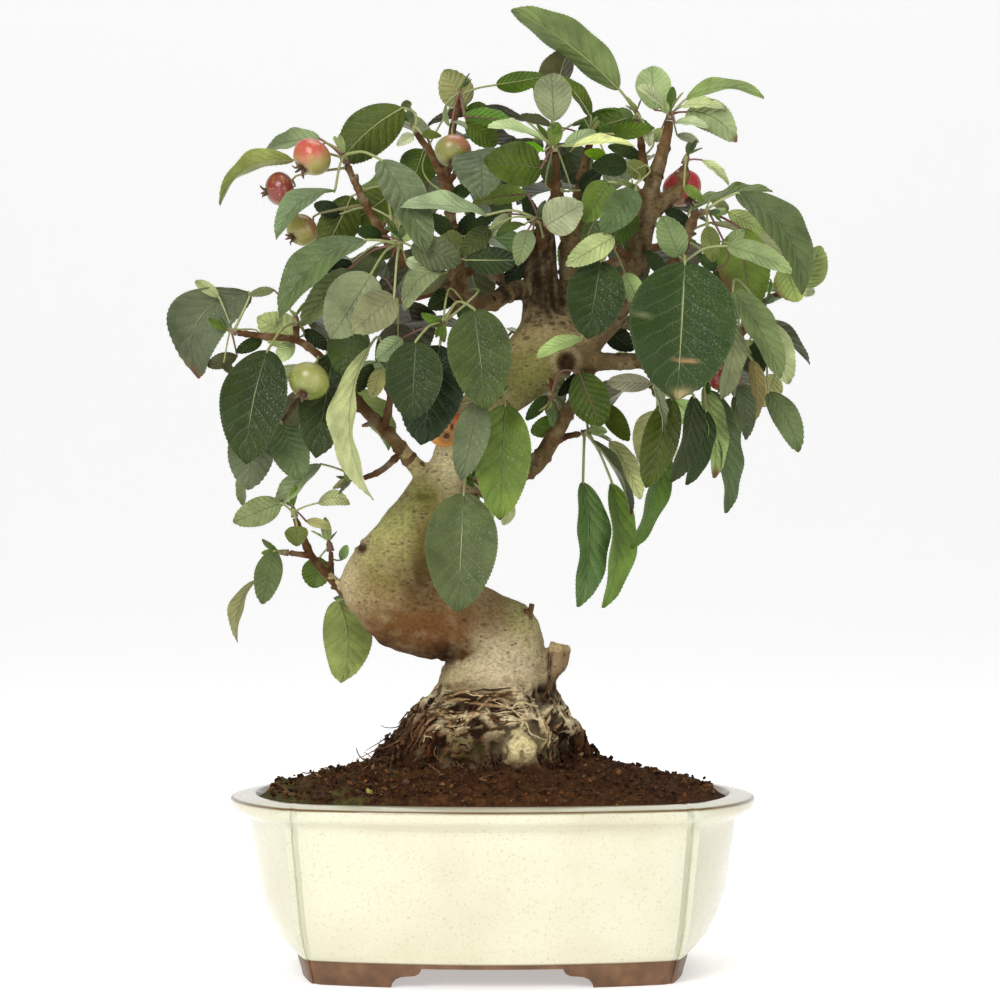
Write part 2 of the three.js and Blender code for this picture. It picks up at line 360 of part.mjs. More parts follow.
// ---------------------------------------------------------------- leaves
// [u, v] at the foot of the blade, [u, v] at its tip, seen width, depth of foot and tip, the face that
// shows (1 upper, -1 under), tone (d dark, g slate, m mid green, l light, p pale, o olive, y yellow) and,
// on a curved blade, how far its middle stands to the left of the line from foot to tip.
const SPRAYS = {
  top_left_tip: { way: [-0.3, 0, 1], leaves: [
    [320, 139, 263, 151, 20, -8, 8, 1, "g"], [293, 160, 219, 204, 14, -10, -19, -1, "o", -12],
    [335, 190, 276, 239, 22, -41, -55, 1, "g", -8], [381, 160, 427, 252, 38, -30, -51, 1, "g"]] },
  left_twig_mid: { way: [0.5, -0.3, 0.8], leaves: [
    [352, 196, 320, 260, 38, -16, -13, -1, "o"], [394, 192, 352, 222, 36, -10, -5, -1, "d"],
    [397, 228, 404, 208, 10, -38, -42, 1, "p"], [392, 240, 416, 222, 22, -22, -15, 1, "d"]] },
  left_knot: { way: [0.1, -0.5, 0.8], leaves: [
    [366, 240, 279, 318, 34, -48, -58, 1, "d", -10], [348, 269, 301, 326, 26, -45, -50, 1, "d"],
    [371, 274, 331, 339, 50, -60, -66, 1, "p"], [394, 296, 353, 332, 36, -68, -74, 1, "p"],
    [406, 260, 421, 266, 12, -43, -40, 1, "l"], [411, 246, 462, 262, 30, -46, -44, 1, "g"],
    [378, 252, 347, 292, 28, -30, -30, 1, "d"]] },
  left_inner: { way: [-0.3, -0.5, 0.8], leaves: [
    [455, 256, 446, 232, 24, -30, -20, 1, "g"], [440, 270, 404, 310, 22, -44, -54, 1, "g", -9],
    [447, 272, 400, 290, 24, -37, -41, -1, "o"], [466, 260, 518, 260, 26, -38, -42, -1, "o"]] },
  front_left: { way: [-0.2, -0.9, -0.2], leaves: [
    [474, 309, 487, 410, 58, -58, -66, 1, "d"], [416, 341, 412, 421, 52, -64, -68, 1, "d"],
    [440, 345, 421, 445, 60, -50, -54, 1, "d"], [402, 338, 377, 360, 20, -50, -48, 1, "y"]] },
  left_low_fork: { way: [0, -0.8, 0.5], leaves: [
    [370, 346, 372, 500, 24, -46, -46, 1, "y", -12], [381, 368, 372, 398, 16, -28, -26, 1, "l"]] },
  left_low_mid: { way: [0, -0.5, 0.8], leaves: [
    [352, 322, 345, 378, 40, -32, -36, 1, "d"], [334, 353, 316, 458, 50, -22, -28, 1, "d"]] },
  left_low_side: { way: [0, -0.3, 0.9], leaves: [
    [268, 350, 246, 464, 61, -32, -36, 1, "d", -4], [297, 338, 257, 318, 34, -6, -2, -1, "l"],
    [294, 342, 277, 361, 16, -6, -4, 1, "l"], [274, 290, 249, 295, 9, -20, -22, 1, "o"]] },
  left_low_end: { way: [-0.9, 0, 0.3], leaves: [
    [249, 292, 198, 379, 58, -4, 2, 1, "g", -29], [219, 297, 195, 281, 11, -8, -4, 1, "l"],
    [237, 356, 207, 366, 15, -5, -2, 1, "d"], [224, 362, 233, 374, 9, -12, -14, 1, "o"]] },
  left_low_hang: { way: [-0.8, -0.2, -0.5], leaves: [
    [255, 420, 248, 490, 44, -16, -18, 1, "d"], [282, 424, 301, 480, 36, -22, -24, 1, "m"],
    [246, 466, 243, 506, 11, -4, -2, 1, "l"]] },
  left_low_twig: { way: [-0.9, -0.1, -0.1], leaves: [
    [321, 464, 273, 512, 18, -8, -10, 1, "l"], [352, 466, 347, 481, 11, -12, -13, 1, "l"]] },
  low_shoot_tip: { way: [-0.2, 0, 1], leaves: [
    [281, 503, 233, 522, 27, -14, -17, 1, "p"], [318, 503, 350, 504, 15, -12, -10, 1, "l", 6],
    [297, 526, 296, 546, 22, -18, -22, 1, "l"], [306, 521, 331, 528, 9, -6, -2, 1, "l"]] },
  low_shoot_side: { way: [-1, 0, 0.1], leaves: [
    [274, 551, 262, 604, 26, -20, -24, 1, "m"], [255, 580, 237, 642, 13, -12, -12, 1, "y", -4]] },
  low_shoot_inner: { way: [-0.2, 0.1, 1], leaves: [
    [320, 557, 313, 588, 28, 8, 10, 1, "o"], [341, 560, 347, 545, 9, 6, 7, 1, "l"]] },
  bend_back: { way: [-0.2, 1, 0], leaves: [[338, 600, 341, 683, 48, 32, 32, -1, "l", 8]] },
  top_left_twig: { way: [-0.4, 0, 0.9], leaves: [
    [403, 108, 341, 162, 46, 2, -6, -1, "m", -6], [401, 108, 411, 102, 8, 10, 14, 1, "o"],
    [413, 135, 397, 145, 11, -2, -10, 1, "p"], [422, 134, 441, 136, 9, 0, -6, 1, "m"],
    [424, 149, 412, 184, 38, 14, 16, -1, "d"]] },
  top_bud: { way: [0.1, 0, 1], leaves: [
    [466, 106, 444, 70, 34, 22, 24, -1, "m"], [496, 85, 546, 76, 20, 10, 14, -1, "m"],
    [464, 116, 513, 123, 15, 4, 0, -1, "m"], [466, 109, 490, 114, 18, 18, 23, 1, "m"],
    [446, 104, 449, 126, 5, 6, 3, 1, "p"], [452, 122, 467, 129, 7, 0, -8, 1, "p"],
    [466, 120, 497, 145, 26, 14, 20, 1, "m"]] },
  top_centre: { way: [0, -0.2, 1], leaves: [
    [554, 121, 551, 73, 36, -22, -12, 1, "p"], [553, 146, 557, 122, 14, -30, -26, 1, "m"],
    [564, 146, 596, 131, 12, -30, -27, 1, "p"], [573, 146, 635, 146, 10, -32, -36, 1, "l"],
    [544, 140, 488, 126, 12, -32, -42, 1, "p"], [544, 151, 522, 145, 8, -30, -36, 1, "l"],
    [541, 168, 484, 161, 42, -34, -46, 1, "g"]] },
  centre_front: { way: [0, -0.9, 0.3], leaves: [
    [487, 215, 400, 207, 19, -36, -50, 1, "p"], [545, 226, 583, 204, 36, -36, -42, 1, "p"],
    [490, 228, 460, 254, 20, -34, -37, 1, "d"], [508, 214, 488, 238, 12, -28, -32, 1, "p"],
    [525, 224, 497, 236, 11, -32, -42, 1, "m"], [528, 230, 517, 265, 20, -40, -50, 1, "p"],
    [527, 194, 472, 203, 16, -16, -18, -1, "o"]] },
  top_left_inner: { way: [0.5, -0.6, 0.6], leaves: [[479, 150, 483, 198, 53, -15, -34, 1, "g"]] },
  top_back: { way: [0.1, -0.1, 1], leaves: [
    [591, 116, 559, 76, 12, 6, 12, -1, "o"], [551, 126, 515, 118, 11, 2, 8, 1, "d"],
    [606, 133, 600, 122, 9, -6, -12, 1, "m"], [613, 134, 654, 128, 16, -8, -14, 1, "m"],
    [606, 157, 585, 152, 12, -10, -16, 1, "l"], [586, 158, 588, 178, 10, 11, 14, 1, "y"],
    [570, 152, 563, 175, 14, 10, 8, 1, "y"]] },
  top_right_twig: { way: [-0.3, 0, 1], leaves: [
    [619, 89, 512, 9, 32, 6, 2, -1, "m"], [632, 117, 578, 131, 32, 16, 14, -1, "m"],
    [633, 118, 620, 108, 8, -2, -4, 1, "m"], [647, 130, 650, 146, 10, -10, -15, 1, "p"]] },
  top_right_tip: { way: [0.1, -0.1, 1], leaves: [
    [686, 99, 764, 97, 16, -12, -14, 1, "l", 6], [682, 106, 724, 108, 13, -20, -31, 1, "l"],
    [686, 112, 737, 141, 31, -20, -30, 1, "l", 8], [675, 122, 708, 128, 11, -28, -38, 1, "p"],
    [655, 110, 651, 66, 34, -4, 4, 1, "p"], [664, 107, 638, 86, 12, -20, -30, 1, "p"],
    [667, 113, 661, 99, 9, -18, -20, 1, "y"], [677, 135, 699, 142, 9, 4, 8, 1, "d"],
    [662, 128, 655, 142, 13, -2, 2, 1, "l"]] },
  right_stub: { way: [0.3, -0.1, 1], leaves: [
    [702, 160, 729, 185, 9, -16, -18, 1, "l"], [684, 186, 704, 201, 10, -30, -33, 1, "m"]] },
  right_spur: { way: [1, -0.1, 0], leaves: [
    [737, 193, 803, 294, 38, -26, -32, 1, "m", 14], [728, 212, 765, 232, 18, -12, -8, 1, "l"],
    [711, 199, 729, 210, 10, -16, -12, 1, "o"], [740, 228, 752, 313, 50, -14, -6, -1, "m"],
    [708, 226, 713, 262, 18, -26, -28, 1, "o"], [729, 243, 744, 230, 13, -24, -26, 1, "m"]] },
  right_hang: { way: [0, -0.3, -0.9], leaves: [
    [685, 262, 677, 400, 98, -60, -64, 1, "d"], [680, 257, 662, 216, 28, -50, -52, 1, "l"],
    [727, 246, 792, 272, 22, -36, -42, 1, "l"]] },
  right_far: { way: [0.6, 0, 0.7], leaves: [
    [803, 288, 821, 246, 30, -17, -22, 1, "m"], [785, 264, 798, 302, 32, -10, -12, -1, "l"],
    [800, 292, 815, 291, 10, 10, 14, 1, "m"]] },
  right_low_end: { way: [0.6, -0.3, 0.6], leaves: [
    [768, 323, 789, 384, 30, -8, -10, 1, "l"], [775, 374, 763, 407, 24, 4, 4, 1, "l"],
    [733, 290, 781, 378, 30, -26, -30, 1, "l"], [768, 392, 799, 452, 26, -2, -4, 1, "g", 4]] },
  right_low_mid: { way: [0.1, -0.9, -0.2], leaves: [
    [734, 323, 722, 399, 22, -32, -36, 1, "g"], [741, 384, 746, 440, 18, -20, -22, 1, "d"],
    [752, 360, 753, 422, 16, -14, -14, 1, "l"], [725, 381, 712, 385, 12, -12, -12, 1, "y"],
    [734, 396, 740, 431, 12, -8, -8, 1, "d"]] },
  right_low_inner: { way: [0.1, -0.6, -0.7], leaves: [
    [706, 410, 687, 485, 20, -22, -24, 1, "d"], [704, 388, 715, 478, 22, -14, -15, 1, "m"],
    [710, 390, 727, 513, 26, -4, -4, 1, "m"]] },
  right_low_front: { way: [0, -0.6, -0.7], leaves: [
    [672, 398, 646, 488, 34, -22, -24, 1, "o"], [654, 386, 663, 432, 8, -28, -30, 1, "g"],
    [694, 396, 672, 482, 22, -32, -34, 1, "d"], [662, 440, 632, 549, 22, -10, -10, 1, "m", -1],
    [651, 384, 607, 382, 18, 2, 6, 1, "y"]] },
  low_right_spur: { way: [0.8, -0.1, 0.2], leaves: [
    [583, 482, 579, 607, 32, 0, -4, 1, "m", 2], [612, 483, 604, 608, 27, 6, 4, 1, "m", 3],
    [610, 441, 641, 499, 20, 8, 10, 1, "l"], [593, 440, 632, 514, 8, -2, -6, 1, "g"],
    [603, 404, 629, 441, 20, 14, 14, 1, "d"], [590, 428, 607, 432, 10, 0, -2, 1, "p"]] },
  burl_under: { way: [0, -0.5, -0.8], leaves: [
    [579, 372, 601, 426, 38, -18, -24, -1, "o"], [548, 402, 556, 422, 12, -10, -10, 1, "m"],
    [563, 420, 531, 433, 20, 4, 8, 1, "o"]] },
  trunk_front_low: { way: [0, -1, 0.1], leaves: [
    [464, 493, 458, 612, 67, -42, -50, 1, "m"], [489, 500, 487, 525, 14, -13, -12, 1, "l"],
    [513, 505, 503, 525, 12, -11, -11, 1, "l"]] },
  trunk_front_high: { way: [0, -1, 0.2], leaves: [
    [505, 404, 500, 520, 52, -44, -50, 1, "m"], [480, 400, 461, 480, 32, -56, -60, 1, "g"]] },
  mid_spur: { way: [-0.3, -0.9, 0.2], leaves: [
    [601, 261, 588, 339, 54, -40, -44, 1, "d"], [614, 237, 566, 265, 24, -42, -48, 1, "y"],
    [625, 273, 641, 308, 20, -28, -30, 1, "g"], [582, 338, 537, 357, 14, -30, -36, 1, "l"]] },
  fork_front: { way: [-0.4, -0.8, 0.3], leaves: [
    [609, 182, 584, 222, 30, -28, -38, 1, "l"], [636, 190, 601, 234, 30, -34, -44, 1, "m"],
    [636, 214, 616, 243, 20, -22, -24, 1, "d"], [627, 165, 592, 166, 22, -16, -22, 1, "d"],
    [646, 165, 628, 172, 20, -14, -18, -1, "m"]] },
};
// Round the back each twig ends in a whorl: way it points, how many leaves, and the turn of the first.
const WHORLS = {
  back_left_mid: { limb: "backLeft", way: [-0.3, 0.8, 0.4], count: 5, turn: 0.5 },
  back_left_low: { way: [-0.6, 0.6, -0.1], count: 5, turn: 0.6 },
  back_left_top: { way: [0, 0.8, 0.3], count: 5, turn: 5.1 },
  back_right_mid: { limb: "backRight", way: [0.1, 0.8, 0.5], count: 5, turn: 2 },
  back_right_high: { way: [0.5, 0.7, 0.3], count: 5, turn: 5.8 },
  back_top: { way: [-0.1, 0.5, 0.9], count: 5, turn: 1.7 },
  back_right_out: { limb: "backRightOuter", way: [0.4, 0.8, 0.4], count: 5, turn: 6.1 },
  back_right_low: { way: [0.3, 0.8, 0.3], count: 5, turn: 4.1 },
  back_middle: { limb: "backMiddle", way: [-0.2, 0.9, 0.1], count: 5, turn: 6.2 },
  back_left_far: { way: [0.1, 0.9, 0.3], count: 5, turn: 3 },
};
const WHORL = { stalk: 14, blade: 38, width: 19, droop: 0.6, spread: 1.15 };
const TONES = {
  d: 0x3a4a35, g: 0x5c6e60, m: 0x55703f, l: 0x7d9658, p: 0x93a586, o: 0x6c7a48, y: 0x9aa860,
};

// A blade and its stalk as one closed mesh. The stalk is three-sided; the blade has a raised rim either
// side of its rib, arches along its length and waves at its edge, with both faces split alike.
function leaf({ root, foot, tip, upper, width, stations, bow = new THREE.Vector3() }) {
  const along = tip.clone().sub(foot);
  const length = along.length();
  along.normalize();
  const normal = upper.clone().addScaledVector(along, -upper.dot(along)).normalize();
  const across = normal.clone().cross(along);
  const points = [];
  const faces = [];
  const stalkRing = (place, way) => {
    const side = across.clone().addScaledVector(way, -across.dot(way)).normalize();
    const top = way.clone().cross(side);
    for (const [s, t] of [[1, 0.4], [-1, 0.4], [0, -1]]) {
      const corner = place.clone().addScaledVector(side, s * LEAF.stalk);
      points.push(corner.addScaledVector(top, t * LEAF.stalk));
    }
  };
  const reach = foot.distanceTo(root);
  // A long stalk arches a little; where the blade turns back, its stalk comes round in a bow.
  const turnsBack = foot.clone().sub(root).dot(along) < 0;
  const elbow = root.clone().lerp(foot, 0.5);
  if (turnsBack) elbow.addScaledVector(along, -0.35 * reach);
  else elbow.z += 0.12 * reach;
  const stalk = turnsBack || reach > LEAF.straight ? [root, elbow, foot] : [root, foot];
  stalk.forEach((place, k) => {
    const way = (stalk[k + 1] ?? place).clone().sub(stalk[k - 1] ?? place).normalize();
    stalkRing(place, place === foot ? way.add(along).normalize() : way);
  });
  faces.push(0, 2, 1);
  const bladeStart = 3 * stalk.length;
  for (let k = 0; k + 3 < bladeStart; k += 3) {
    for (let i = 0; i < 3; i++) {
      const [a, b] = [k + i, k + ((i + 1) % 3)];
      faces.push(a, b, b + 3, a, b + 3, a + 3);
    }
  }
  stations.forEach((t, k) => {
    const half = (width / 2) * Math.sin(Math.PI * t ** 0.85) ** 0.8;
    const crest = LEAF.arch * length * 4 * t * (1 - t);
    const middle = foot.clone().addScaledVector(along, length * t).addScaledVector(normal, crest);
    middle.addScaledVector(bow, 4 * t * (1 - t));
    const edge = (sign) => {
      const lift = LEAF.fold * half + LEAF.wave * Math.sin(2.4 * k + 1.3 * sign);
      return middle.clone().addScaledVector(across, sign * half).addScaledVector(normal, lift);
    };
    const row = [edge(1), middle, edge(-1)];
    const shift = (p, s) => p.clone().addScaledVector(normal, (s * LEAF.thick) / 2);
    points.push(...row.map((p) => shift(p, 1)), ...row.reverse().map((p) => shift(p, -1)));
  });
  points.push(tip);
  const [q0, q1, q2, p] = [3, 2, 1, 0].map((back) => bladeStart - back);
  faces.push(q0, q1, p + 1, q0, p + 1, p, q1, p + 2, p + 1, q1, p + 3, p + 2);
  faces.push(q1, q2, p + 4, q1, p + 4, p + 3, q2, q0, p + 4, q0, p + 5, p + 4, q0, p, p + 5);
  for (let k = 0; k + 1 < stations.length; k++) {
    for (let i = 0; i < 6; i++) {
      const [a, b] = [p + 6 * k + i, p + 6 * k + ((i + 1) % 6)];
      const [c, d] = [a + 6, b + 6];
      if (i === 3 || i === 4) faces.push(a, b, c, b, d, c);
      else faces.push(a, b, d, a, d, c);
    }
  }
  const end = p + 6 * (stations.length - 1);
  for (let i = 0; i < 6; i++) faces.push(end + i, end + ((i + 1) % 6), points.length - 1);
  return solid(fromTriangles(points, faces));
}

const STATIONS = { large: [0.14, 0.45, 0.8], small: [0.26, 0.7] };

function laidLeaf([u0, v0, u1, v1, seen, depth0, depth1, face, , curve = 0], root) {
  const [foot, tip] = [at(u0, v0, depth0), at(u1, v1, depth1)];
  const length = foot.distanceTo(tip);
  const width = Math.max(seen * SQUARE, LEAF.slimmest * length);
  const turned = Math.acos(Math.min(1, (seen * SQUARE) / width));
  const lean = new THREE.Vector3(foot.z - tip.z, 0, tip.x - foot.x).normalize();
  const hangs = Math.abs(lean.z) < 0.35;
  if (hangs ? lean.x * foot.x < 0 : lean.z < 0) lean.negate();
  const upper = new THREE.Vector3(0, -face * Math.cos(turned), 0).addScaledVector(lean, Math.sin(turned));
  const bow = new THREE.Vector3(v1 - v0, 0, u1 - u0).setLength(curve * SQUARE);
  const stations = length < LEAF.plain ? STATIONS.small : STATIONS.large;
  return leaf({ root, foot, tip, upper, width, bow, stations });
}

function whorlLeaf(i, way, turn, root) {
  const across = new THREE.Vector3(0, 0, 1).cross(way).normalize();
  const over = way.clone().cross(across);
  const angle = turn + i * 2.4;
  const open = WHORL.spread * (0.55 + 0.45 * ((i * 0.618) % 1));
  const out = way.clone().multiplyScalar(Math.cos(open));
  out.addScaledVector(across, Math.sin(open) * Math.cos(angle));
  out.addScaledVector(over, Math.sin(open) * Math.sin(angle));
  const foot = root.clone().addScaledVector(out, WHORL.stalk * (0.8 + 0.4 * ((i * 0.377) % 1)));
  const hang = out.clone().add(new THREE.Vector3(0, 0, -WHORL.droop - 0.3 * ((i * 0.731) % 1))).normalize();
  const length = WHORL.blade * (0.85 + 0.25 * ((i * 0.417) % 1));
  const tip = foot.clone().addScaledVector(hang, length);
  const upper = out.clone().multiplyScalar(0.5).add(new THREE.Vector3(0, 0, 1));
  return leaf({ root, foot, tip, upper, width: WHORL.width, stations: STATIONS.small });
}

function spray(spur, pointing, count, leafAt) {
  const way = new THREE.Vector3(...pointing).normalize();
  // The bud sits clear of the twig's end, whichever way it turns.
  const seat = GAP + spur.r * Math.sin(way.angleTo(spur.way));
  const bud = (reach, r) => ({ at: spur.place.clone().addScaledVector(way, seat + reach), r });
  const core = limb([bud(0, BUD.radius), bud(BUD.length, BUD.tip)], 4);
  const leaves = Array.from({ length: count }, (_, i) => {
    const reach = seat + 1.2 + ((BUD.length - 2) * (i + 0.5)) / count;
    return leafAt(i, spur.place.clone().addScaledVector(way, reach), way);
  });
  return join([core, ...leaves]);
}

function meanTone(letters) {
  const sum = new THREE.Color(0, 0, 0);
  for (const letter of letters) sum.add(new THREE.Color(TONES[letter]));
  return sum.multiplyScalar(1 / letters.length);
}

const limbOf = {
  left_knot: "leftOuter", left_inner: "left", left_low_end: "lowLeft", low_shoot_tip: "lowShoot",
  top_back: "light", top_right_tip: "rightForkLeft", right_stub: "rightForkRight", right_spur: "rightInner",
  right_low_end: "rightLow",
};
const endOf = (name, limbName) => {
  const [before, end] = limbPoints((LIMBS[limbName] ?? TWIGS[name]).slice(-2));
  return { place: end.at, r: end.r, way: end.at.clone().sub(before.at).normalize() };
};
for (const [name, { way, leaves }] of Object.entries(SPRAYS)) {
  const leafAt = (i, root) => laidLeaf(leaves[i], root);
  const shape = spray(endOf(name, limbOf[name]), way, leaves.length, leafAt);
  addMesh("leaves_" + name, shape, meanTone(leaves.map((row) => row[8])), 0.55);
}
for (const [name, { limb: limbName, way, count, turn }] of Object.entries(WHORLS)) {
  const leafAt = (i, root, to) => whorlLeaf(i, to, turn, root);
  const shape = spray(endOf(name, limbName), way, count, leafAt);
  addMesh("leaves_" + name, shape, TONES.m, 0.55);
}

// ---------------------------------------------------------------- fruit
// Middle, diameter, where the calyx points, and the stalk from the fruit's top to its twig.
const FRUITS = {
  top_left: {
    middle: [312, 157, -22], size: 15.5, calyx: [-0.5, -0.3, -0.6],
    stalk: [[327, 143, -23], [343, 152, -20]], color: 0xb8503f,
  },
  top_left_low: {
    middle: [280, 189, -8], size: 13.5, calyx: [-0.9, -0.2, -0.2],
    stalk: [[296, 176, -9], [344, 168, -17]], color: 0x9c4238,
  },
  upper: {
    middle: [453, 151, -13], size: 14.3, calyx: [0, -0.5, -0.8],
    stalk: [[452, 132, -8], [454, 122, 7]], color: 0x8c8a45,
  },
  left: {
    middle: [302, 230, -38], size: 13, calyx: [-0.6, -0.4, -0.5],
    stalk: [[318, 214, -37], [361, 205, -24]], color: 0x9aa04c,
  },
  right: {
    middle: [682, 188, 8], size: 16, calyx: [0.4, -0.4, -0.7],
    stalk: [[683, 166, 2], [684, 165, -12]], color: 0xb04440,
  },
  low_left: {
    middle: [309, 381, -44], size: 15.9, calyx: [-0.3, -0.5, -0.7],
    stalk: [[318, 357, -41], [321, 359, -17]], color: 0xa9bb63,
  },
  by_trunk: {
    middle: [445, 428, -19], size: 15.5, calyx: [0.1, -0.8, -0.5],
    stalk: [[452, 408, -17], [492, 395, -10]], color: 0xd98a3e,
  },
  low_right: {
    middle: [722, 378, -20], size: 11.4, calyx: [0, -0.4, -0.9],
    stalk: [[722, 362, -18], [722, 349, -9]], color: 0x7c2f2c,
  },
};

// A small apple: dimpled at the stalk, with the dried calyx as a little crown at the other end.
function fruit({ middle, size, calyx, stalk }) {
  const r = size / 2;
  const profile = [
    [0, 0.8], [0.34, 0.92], [0.86, 0.5], [0.96, -0.2], [0.6, -0.8], [0.2, -0.92], [0.24, -1.12], [0, -0.98],
  ];
  const outline = profile.map(([across, up]) => new THREE.Vector2(across * r, up * r)).reverse();
  const body = new THREE.LatheGeometry(outline, 7);
  const place = at(...middle);
  const up = new THREE.Vector3(...calyx).normalize().negate();
  body.applyQuaternion(new THREE.Quaternion().setFromUnitVectors(new THREE.Vector3(0, 1, 0), up));
  body.translate(place.x, place.y, place.z);
  const route = [place.clone().addScaledVector(up, 0.5 * r), ...stalk.map((row) => at(...row))];
  return solid(body).add(limb(route.map((p) => ({ at: p, r: 0.6 })), 3));
}
for (const [name, row] of Object.entries(FRUITS)) addMesh("fruit_" + name, fruit(row), row.color, 0.35);

export default group;
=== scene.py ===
import math
import random

import bpy
import numpy as np
from mathutils import Matrix, Vector, noise
from mathutils.bvhtree import BVHTree
from mathutils.kdtree import KDTree


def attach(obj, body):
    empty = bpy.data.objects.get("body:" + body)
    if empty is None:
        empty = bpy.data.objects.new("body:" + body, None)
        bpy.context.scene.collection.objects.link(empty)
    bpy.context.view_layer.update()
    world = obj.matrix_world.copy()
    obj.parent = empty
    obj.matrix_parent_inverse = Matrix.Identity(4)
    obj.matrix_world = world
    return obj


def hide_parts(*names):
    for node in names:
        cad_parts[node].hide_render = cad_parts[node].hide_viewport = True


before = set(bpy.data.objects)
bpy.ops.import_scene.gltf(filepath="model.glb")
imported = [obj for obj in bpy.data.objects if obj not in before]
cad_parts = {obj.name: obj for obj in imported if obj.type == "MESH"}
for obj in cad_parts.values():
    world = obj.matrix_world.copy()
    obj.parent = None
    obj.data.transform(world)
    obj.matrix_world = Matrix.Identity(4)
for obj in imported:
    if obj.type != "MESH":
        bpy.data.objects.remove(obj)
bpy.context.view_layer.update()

# ---------------------------------------------------------------- camera, floor and light
# A pale paper sweep, a long lens at the height of the trunk's bend, and soft boxes above and to both
# sides. The layout squares used from here on are those of the tree's front elevation: u across, v
# down, and depth in mm behind the middle of the pot.
EYE = Vector((0.003, -1.33, 0.1903))
SQUARE = 0.000408
EYE_AWAY_MM, EYE_MIDDLE_MM, SQUARE_MM = 1330, (3, 190.3), 0.408


def at(u, v, depth):
    """The place in metres of a layout square at a depth in mm."""
    scale = SQUARE * (1 + depth / EYE_AWAY_MM)
    return Vector((EYE.x + (u - 500) * scale, depth / 1000, EYE.z - (v - 500) * scale))


def linear(red, green, blue):
    """A paint colour in 0 to 255 as the light it sends back."""
    return tuple((c / 255 / 12.92) if c < 10.3 else ((c / 255 + 0.055) / 1.055) ** 2.4 for c in (red, green, blue))


bpy.ops.object.camera_add(location=EYE, rotation=(math.pi / 2, 0, 0))
bpy.context.scene.camera = bpy.context.object
bpy.context.object.data.lens = 36 / 1000 / SQUARE * 1.33
bpy.context.object.data.sensor_width = 36
bpy.context.object.data.clip_start = 0.05


def squares(x, z):
    """The layout squares of a place in mm, in the plane through the middle of the pot."""
    return 500 + (x - EYE_MIDDLE_MM[0]) / SQUARE_MM, 500 - (z - EYE_MIDDLE_MM[1]) / SQUARE_MM


def soft_box(place, size, watts):
    bpy.ops.object.light_add(type="AREA", location=place)
    box = bpy.context.object
    box.data.size = size
    box.data.energy = watts
    box.rotation_euler = (Vector((0, 0, 0.2)) - Vector(place)).to_track_quat("-Z", "Y").to_euler()


soft_box((-0.9, -1.9, 1.25), 1.1, 36)
soft_box((1.3, -1.8, 0.7), 1.2, 10)
soft_box((0.1, 0.3, 1.9), 1.2, 13)
world = bpy.data.worlds.new("studio")
world.use_nodes = True
backdrop = world.node_tree.nodes["Background"].inputs
backdrop["Color"].default_value, backdrop["Strength"].default_value = (1, 1, 1, 1), 0.31
bpy.context.scene.world = world
bpy.context.scene.view_settings.view_transform = "Standard"

bpy.ops.object.select_all(action="DESELECT")
bpy.ops.mesh.primitive_plane_add(size=1)
floor = bpy.context.object
floor.name = "paper_sweep"
floor.scale = (8, 7, 1)
floor.location = (0, 0.5, 0)
bpy.ops.object.transform_apply(location=True, rotation=False, scale=True)
bpy.ops.object.mode_set(mode="EDIT")
bpy.ops.mesh.select_all(action="DESELECT")
bpy.ops.object.mode_set(mode="OBJECT")
for edge in floor.data.edges:
    if all(floor.data.vertices[i].co.y > 3 for i in edge.vertices):
        edge.select = True
bpy.ops.object.mode_set(mode="EDIT")
bpy.ops.mesh.select_mode(type="EDGE")
bpy.ops.mesh.extrude_region_move(TRANSFORM_OT_translate={"value": (0, 0, 4)})
bpy.ops.object.mode_set(mode="OBJECT")
bend = floor.modifiers.new("bend", "BEVEL")
bend.width = 1.5
bend.segments = 12
bpy.ops.object.modifier_apply(modifier="bend")
bpy.ops.object.shade_smooth()
paper = bpy.data.materials.new("paper")
paper.use_nodes = True
for socket, value in (("Base Color", (0.9, 0.9, 0.895, 1)), ("Roughness", 0.9),
                      ("Emission Color", (1, 1, 1, 1)), ("Emission Strength", 0.42)):
    paper.node_tree.nodes["Principled BSDF"].inputs[socket].default_value = value
floor.data.materials.append(paper)

# ---------------------------------------------------------------- pot
# A wheel-pressed clay pot of four lobes, 213 mm wide, dipped in cream crackle glaze down to its feet.
# The glaze breaks to a thin brown line on the arris of the rim and runs thick and bluish in the
# corner grooves. The bracket feet and the underside are bare red-brown clay.
POT_LEVELS = [  # height, half width, half depth, corner of the groove, groove depth
    (9.3, 79.6, 64.2, 72.4, 50.8, 1.2), (10.2, 81, 65.5, 73.5, 52, 2.2), (12.5, 84, 66.3, 74.1, 53.1, 2.6),
    (16.4, 87.5, 67.5, 75, 54.5, 2.8), (24, 91.6, 68.9, 76.1, 55.9, 2.9), (34, 94.9, 70, 77, 57, 3),
    (46, 96.6, 71, 78, 58.4, 3), (57, 98.4, 72.3, 79, 59.6, 3), (62, 99, 72.9, 79, 60.2, 2.6),
    (63.6, 100.6, 74.3, 79, 61.6, 2.4), (64.6, 103, 76.6, 79, 63.6, 2.3), (65.6, 105.3, 78.7, 79, 65.1, 2.2),
    (67.2, 106.5, 79.8, 79, 65.9, 2.2), (69.2, 106.7, 80, 79, 66, 2.2), (69.9, 106.5, 79.8, 78.9, 65.8, 2.2),
    (70.3, 106, 79.3, 78.6, 65.4, 2.1), (70.6, 105.1, 78.5, 78.1, 64.7, 2), (71.4, 101, 75, 77.7, 61.9, 1.8),
    (71.8, 97.6, 71.8, 77.2, 59, 1.6), (71.5, 96.4, 70.6, 77, 58.2, 1.5), (70.2, 95.8, 70, 77, 57.8, 1.5),
    (60, 91.8, 66, 74.2, 54.7, 1.5), (40, 89.9, 64.6, 73, 53, 1.5), (20, 83.5, 62, 71, 50.6, 1.5),
    (16, 81.5, 61.5, 70, 49.7, 1.5),
]


